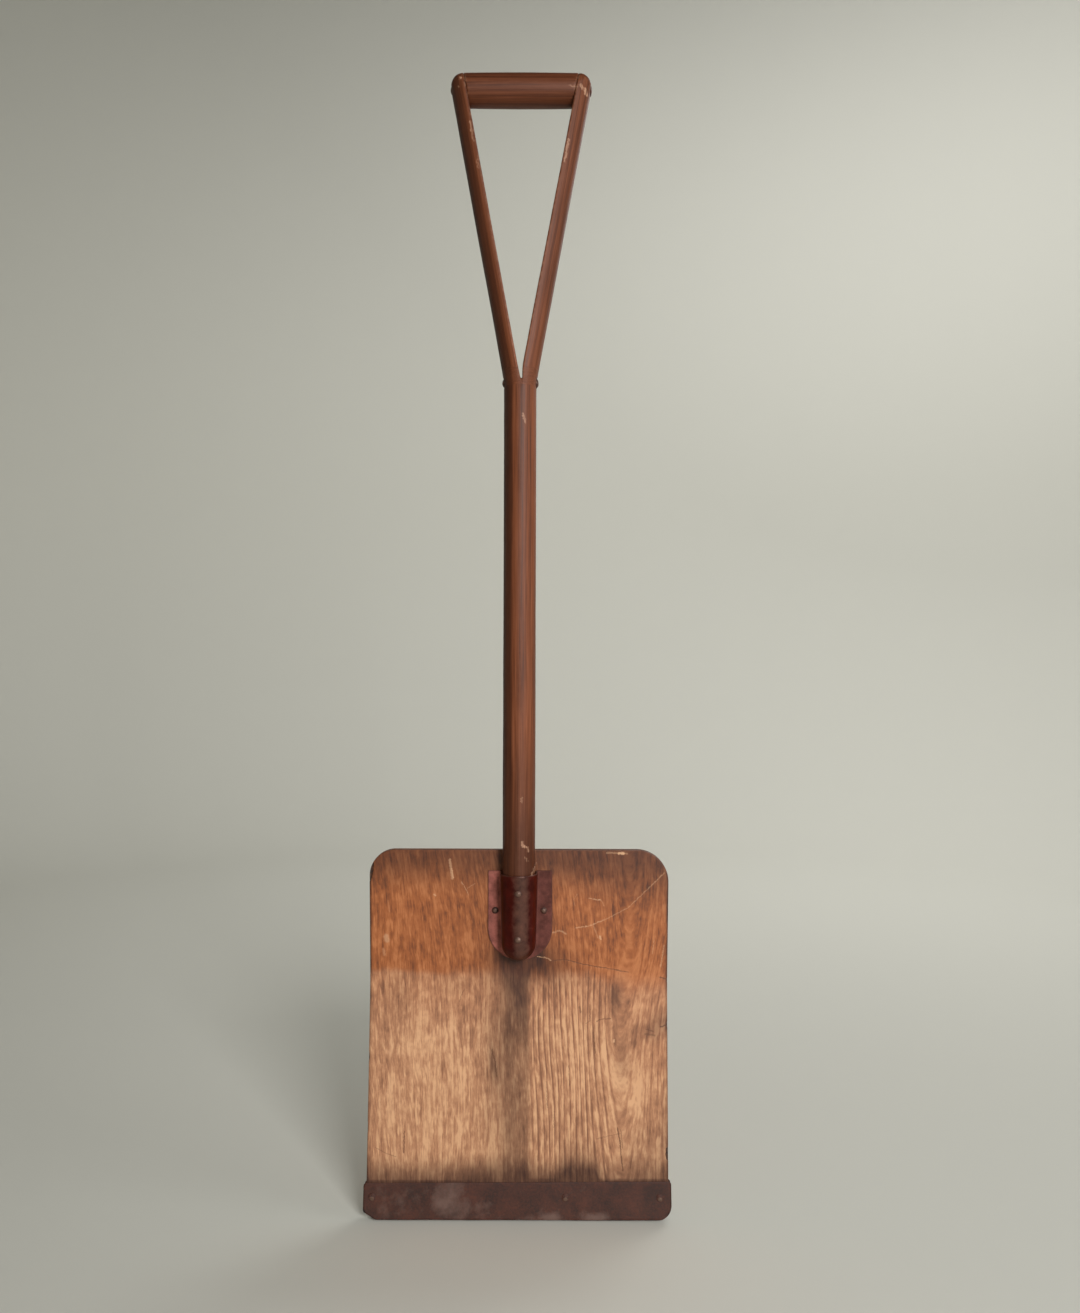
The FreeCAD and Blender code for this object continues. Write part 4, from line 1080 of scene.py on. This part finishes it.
# ---------------------------------------------------------------- stage
class SHOVEL_OT_stage(bpy.types.Operator):
    """Pale floor, soft lights and the camera"""
    bl_idname = "shovel.stage"
    bl_label = "Stage"

    def execute(self, context):
        s = context.scene.shovel_stage
        scene = context.scene
        self.make_floor(s)
        world = bpy.data.worlds.new("soft_room")
        world.use_nodes = True
        world.node_tree.nodes["Background"].inputs["Color"].default_value = (*s.sky, 1)
        world.node_tree.nodes["Background"].inputs["Strength"].default_value = s.sky_strength
        scene.world = world
        middle = Vector((0, 0, (cad_box[0][2] + cad_box[1][2]) / 2))
        self.make_light("key", Vector((0.9, -2.35, 0.1)), middle, 0.9, s.key_power, 120)
        self.make_light("side", Vector((2.7, -0.8, 0.1)), middle, 1.2, s.side_power)
        self.make_light("rear", Vector((1.6, 2.2, 1.2)), middle, 1.4, s.rear_power)
        self.make_light("backdrop", Vector((1.0, 1.2, 1.6)), Vector((1.3, 4.0, -0.2)), 1.6, s.backdrop_power)
        self.make_camera(scene)
        scene.view_settings.view_transform = "Standard"
        return {"FINISHED"}

    def make_floor(self, s):
        """A round pale floor that sweeps up into a wall on every side."""
        z = cad_box[0][2]
        reach, radius, top, sides = 2.4, 1.4, 5.0, 64
        profile = [(0.5, z)]
        profile += [(reach + radius * math.sin(math.radians(a)), z + radius * (1 - math.cos(math.radians(a))))
                    for a in range(0, 91, 6)]
        profile.append((reach + radius, z + top))
        turns = [2 * math.pi * i / sides for i in range(sides)]
        vertices = [(away * math.cos(t), away * math.sin(t), up) for away, up in profile for t in turns]
        faces = []
        for ring in range(0, (len(profile) - 1) * sides, sides):
            for i in range(sides):
                after = (i + 1) % sides
                faces.append((ring + i, ring + sides + i, ring + sides + after, ring + after))
        faces.append(tuple(range(sides)))
        floor = new_piece("pale_sweep", vertices, faces)
        material, tree = start_material("matt_paper")
        shader = add(tree, "BsdfPrincipled", {"Base Color": s.floor, "Roughness": 0.9})
        close_material(tree, shader)
        floor.data.materials.append(material)

    def make_light(self, name, place, target, across, power, spread=180):
        """A square soft light aimed at a point, with a grid that keeps it to a spread in degrees."""
        data = bpy.data.lights.new(name, "AREA")
        data.size = across
        data.energy = power
        data.spread = math.radians(spread)
        light = bpy.data.objects.new(name, data)
        light.location = place
        light.rotation_euler = (target - place).to_track_quat("-Z", "Y").to_euler()
        bpy.context.scene.collection.objects.link(light)

    def make_camera(self, scene):
        """Level with the middle of the shaft, a little to the right."""
        data = bpy.data.cameras.new("camera")
        data.lens = 29.67
        data.sensor_width = 36
        camera = bpy.data.objects.new("camera", data)
        place = Vector((0.0247, -1.2663, -0.6773))
        turn = Matrix.Rotation(math.radians(0.03), 4, "Z") @ Matrix.Rotation(math.radians(90.554), 4, "X")
        camera.matrix_world = Matrix.Translation(place) @ turn @ Matrix.Rotation(math.radians(0.173), 4, "Z")
        scene.collection.objects.link(camera)
        scene.camera = camera


OPERATORS = (SHOVEL_OT_stage, SHOVEL_OT_handle, SHOVEL_OT_grip, SHOVEL_OT_blade, SHOVEL_OT_socket,
             SHOVEL_OT_back_plate, SHOVEL_OT_edge_band, SHOVEL_OT_rivets)
SETTINGS = {"shovel_handle": ShovelHandleSettings, "shovel_blade": ShovelBladeSettings,
            "shovel_steel": ShovelSteelSettings, "shovel_stage": ShovelStageSettings}


class SHOVEL_PT_panel(bpy.types.Panel):
    """Lists the shovel's settings and pieces"""
    bl_idname = "SHOVEL_PT_panel"
    bl_label = "Grain Scoop Shovel"
    bl_space_type = "VIEW_3D"
    bl_region_type = "UI"
    bl_category = "Shovel"

    def draw(self, context):
        for name, group in SETTINGS.items():
            box = self.layout.box()
            for setting in group.__annotations__:
                box.prop(getattr(context.scene, name), setting)
        for operator in OPERATORS:
            self.layout.operator(operator.bl_idname)


def register():
    for group in SETTINGS.values():
        bpy.utils.register_class(group)
    for name, group in SETTINGS.items():
        setattr(bpy.types.Scene, name, PointerProperty(type=group))
    for item in (*OPERATORS, SHOVEL_PT_panel):
        bpy.utils.register_class(item)


def unregister():
    for item in reversed((*OPERATORS, SHOVEL_PT_panel)):
        bpy.utils.unregister_class(item)
    for name, group in SETTINGS.items():
        delattr(bpy.types.Scene, name)
        bpy.utils.unregister_class(group)


def main():
    register()
    bpy.ops.shovel.stage()
    bpy.ops.shovel.handle()
    bpy.ops.shovel.grip()
    bpy.ops.shovel.blade()
    bpy.ops.shovel.socket()
    bpy.ops.shovel.back_plate()
    bpy.ops.shovel.edge_band()
    bpy.ops.shovel.rivets()


if __name__ == "__main__":
    main()
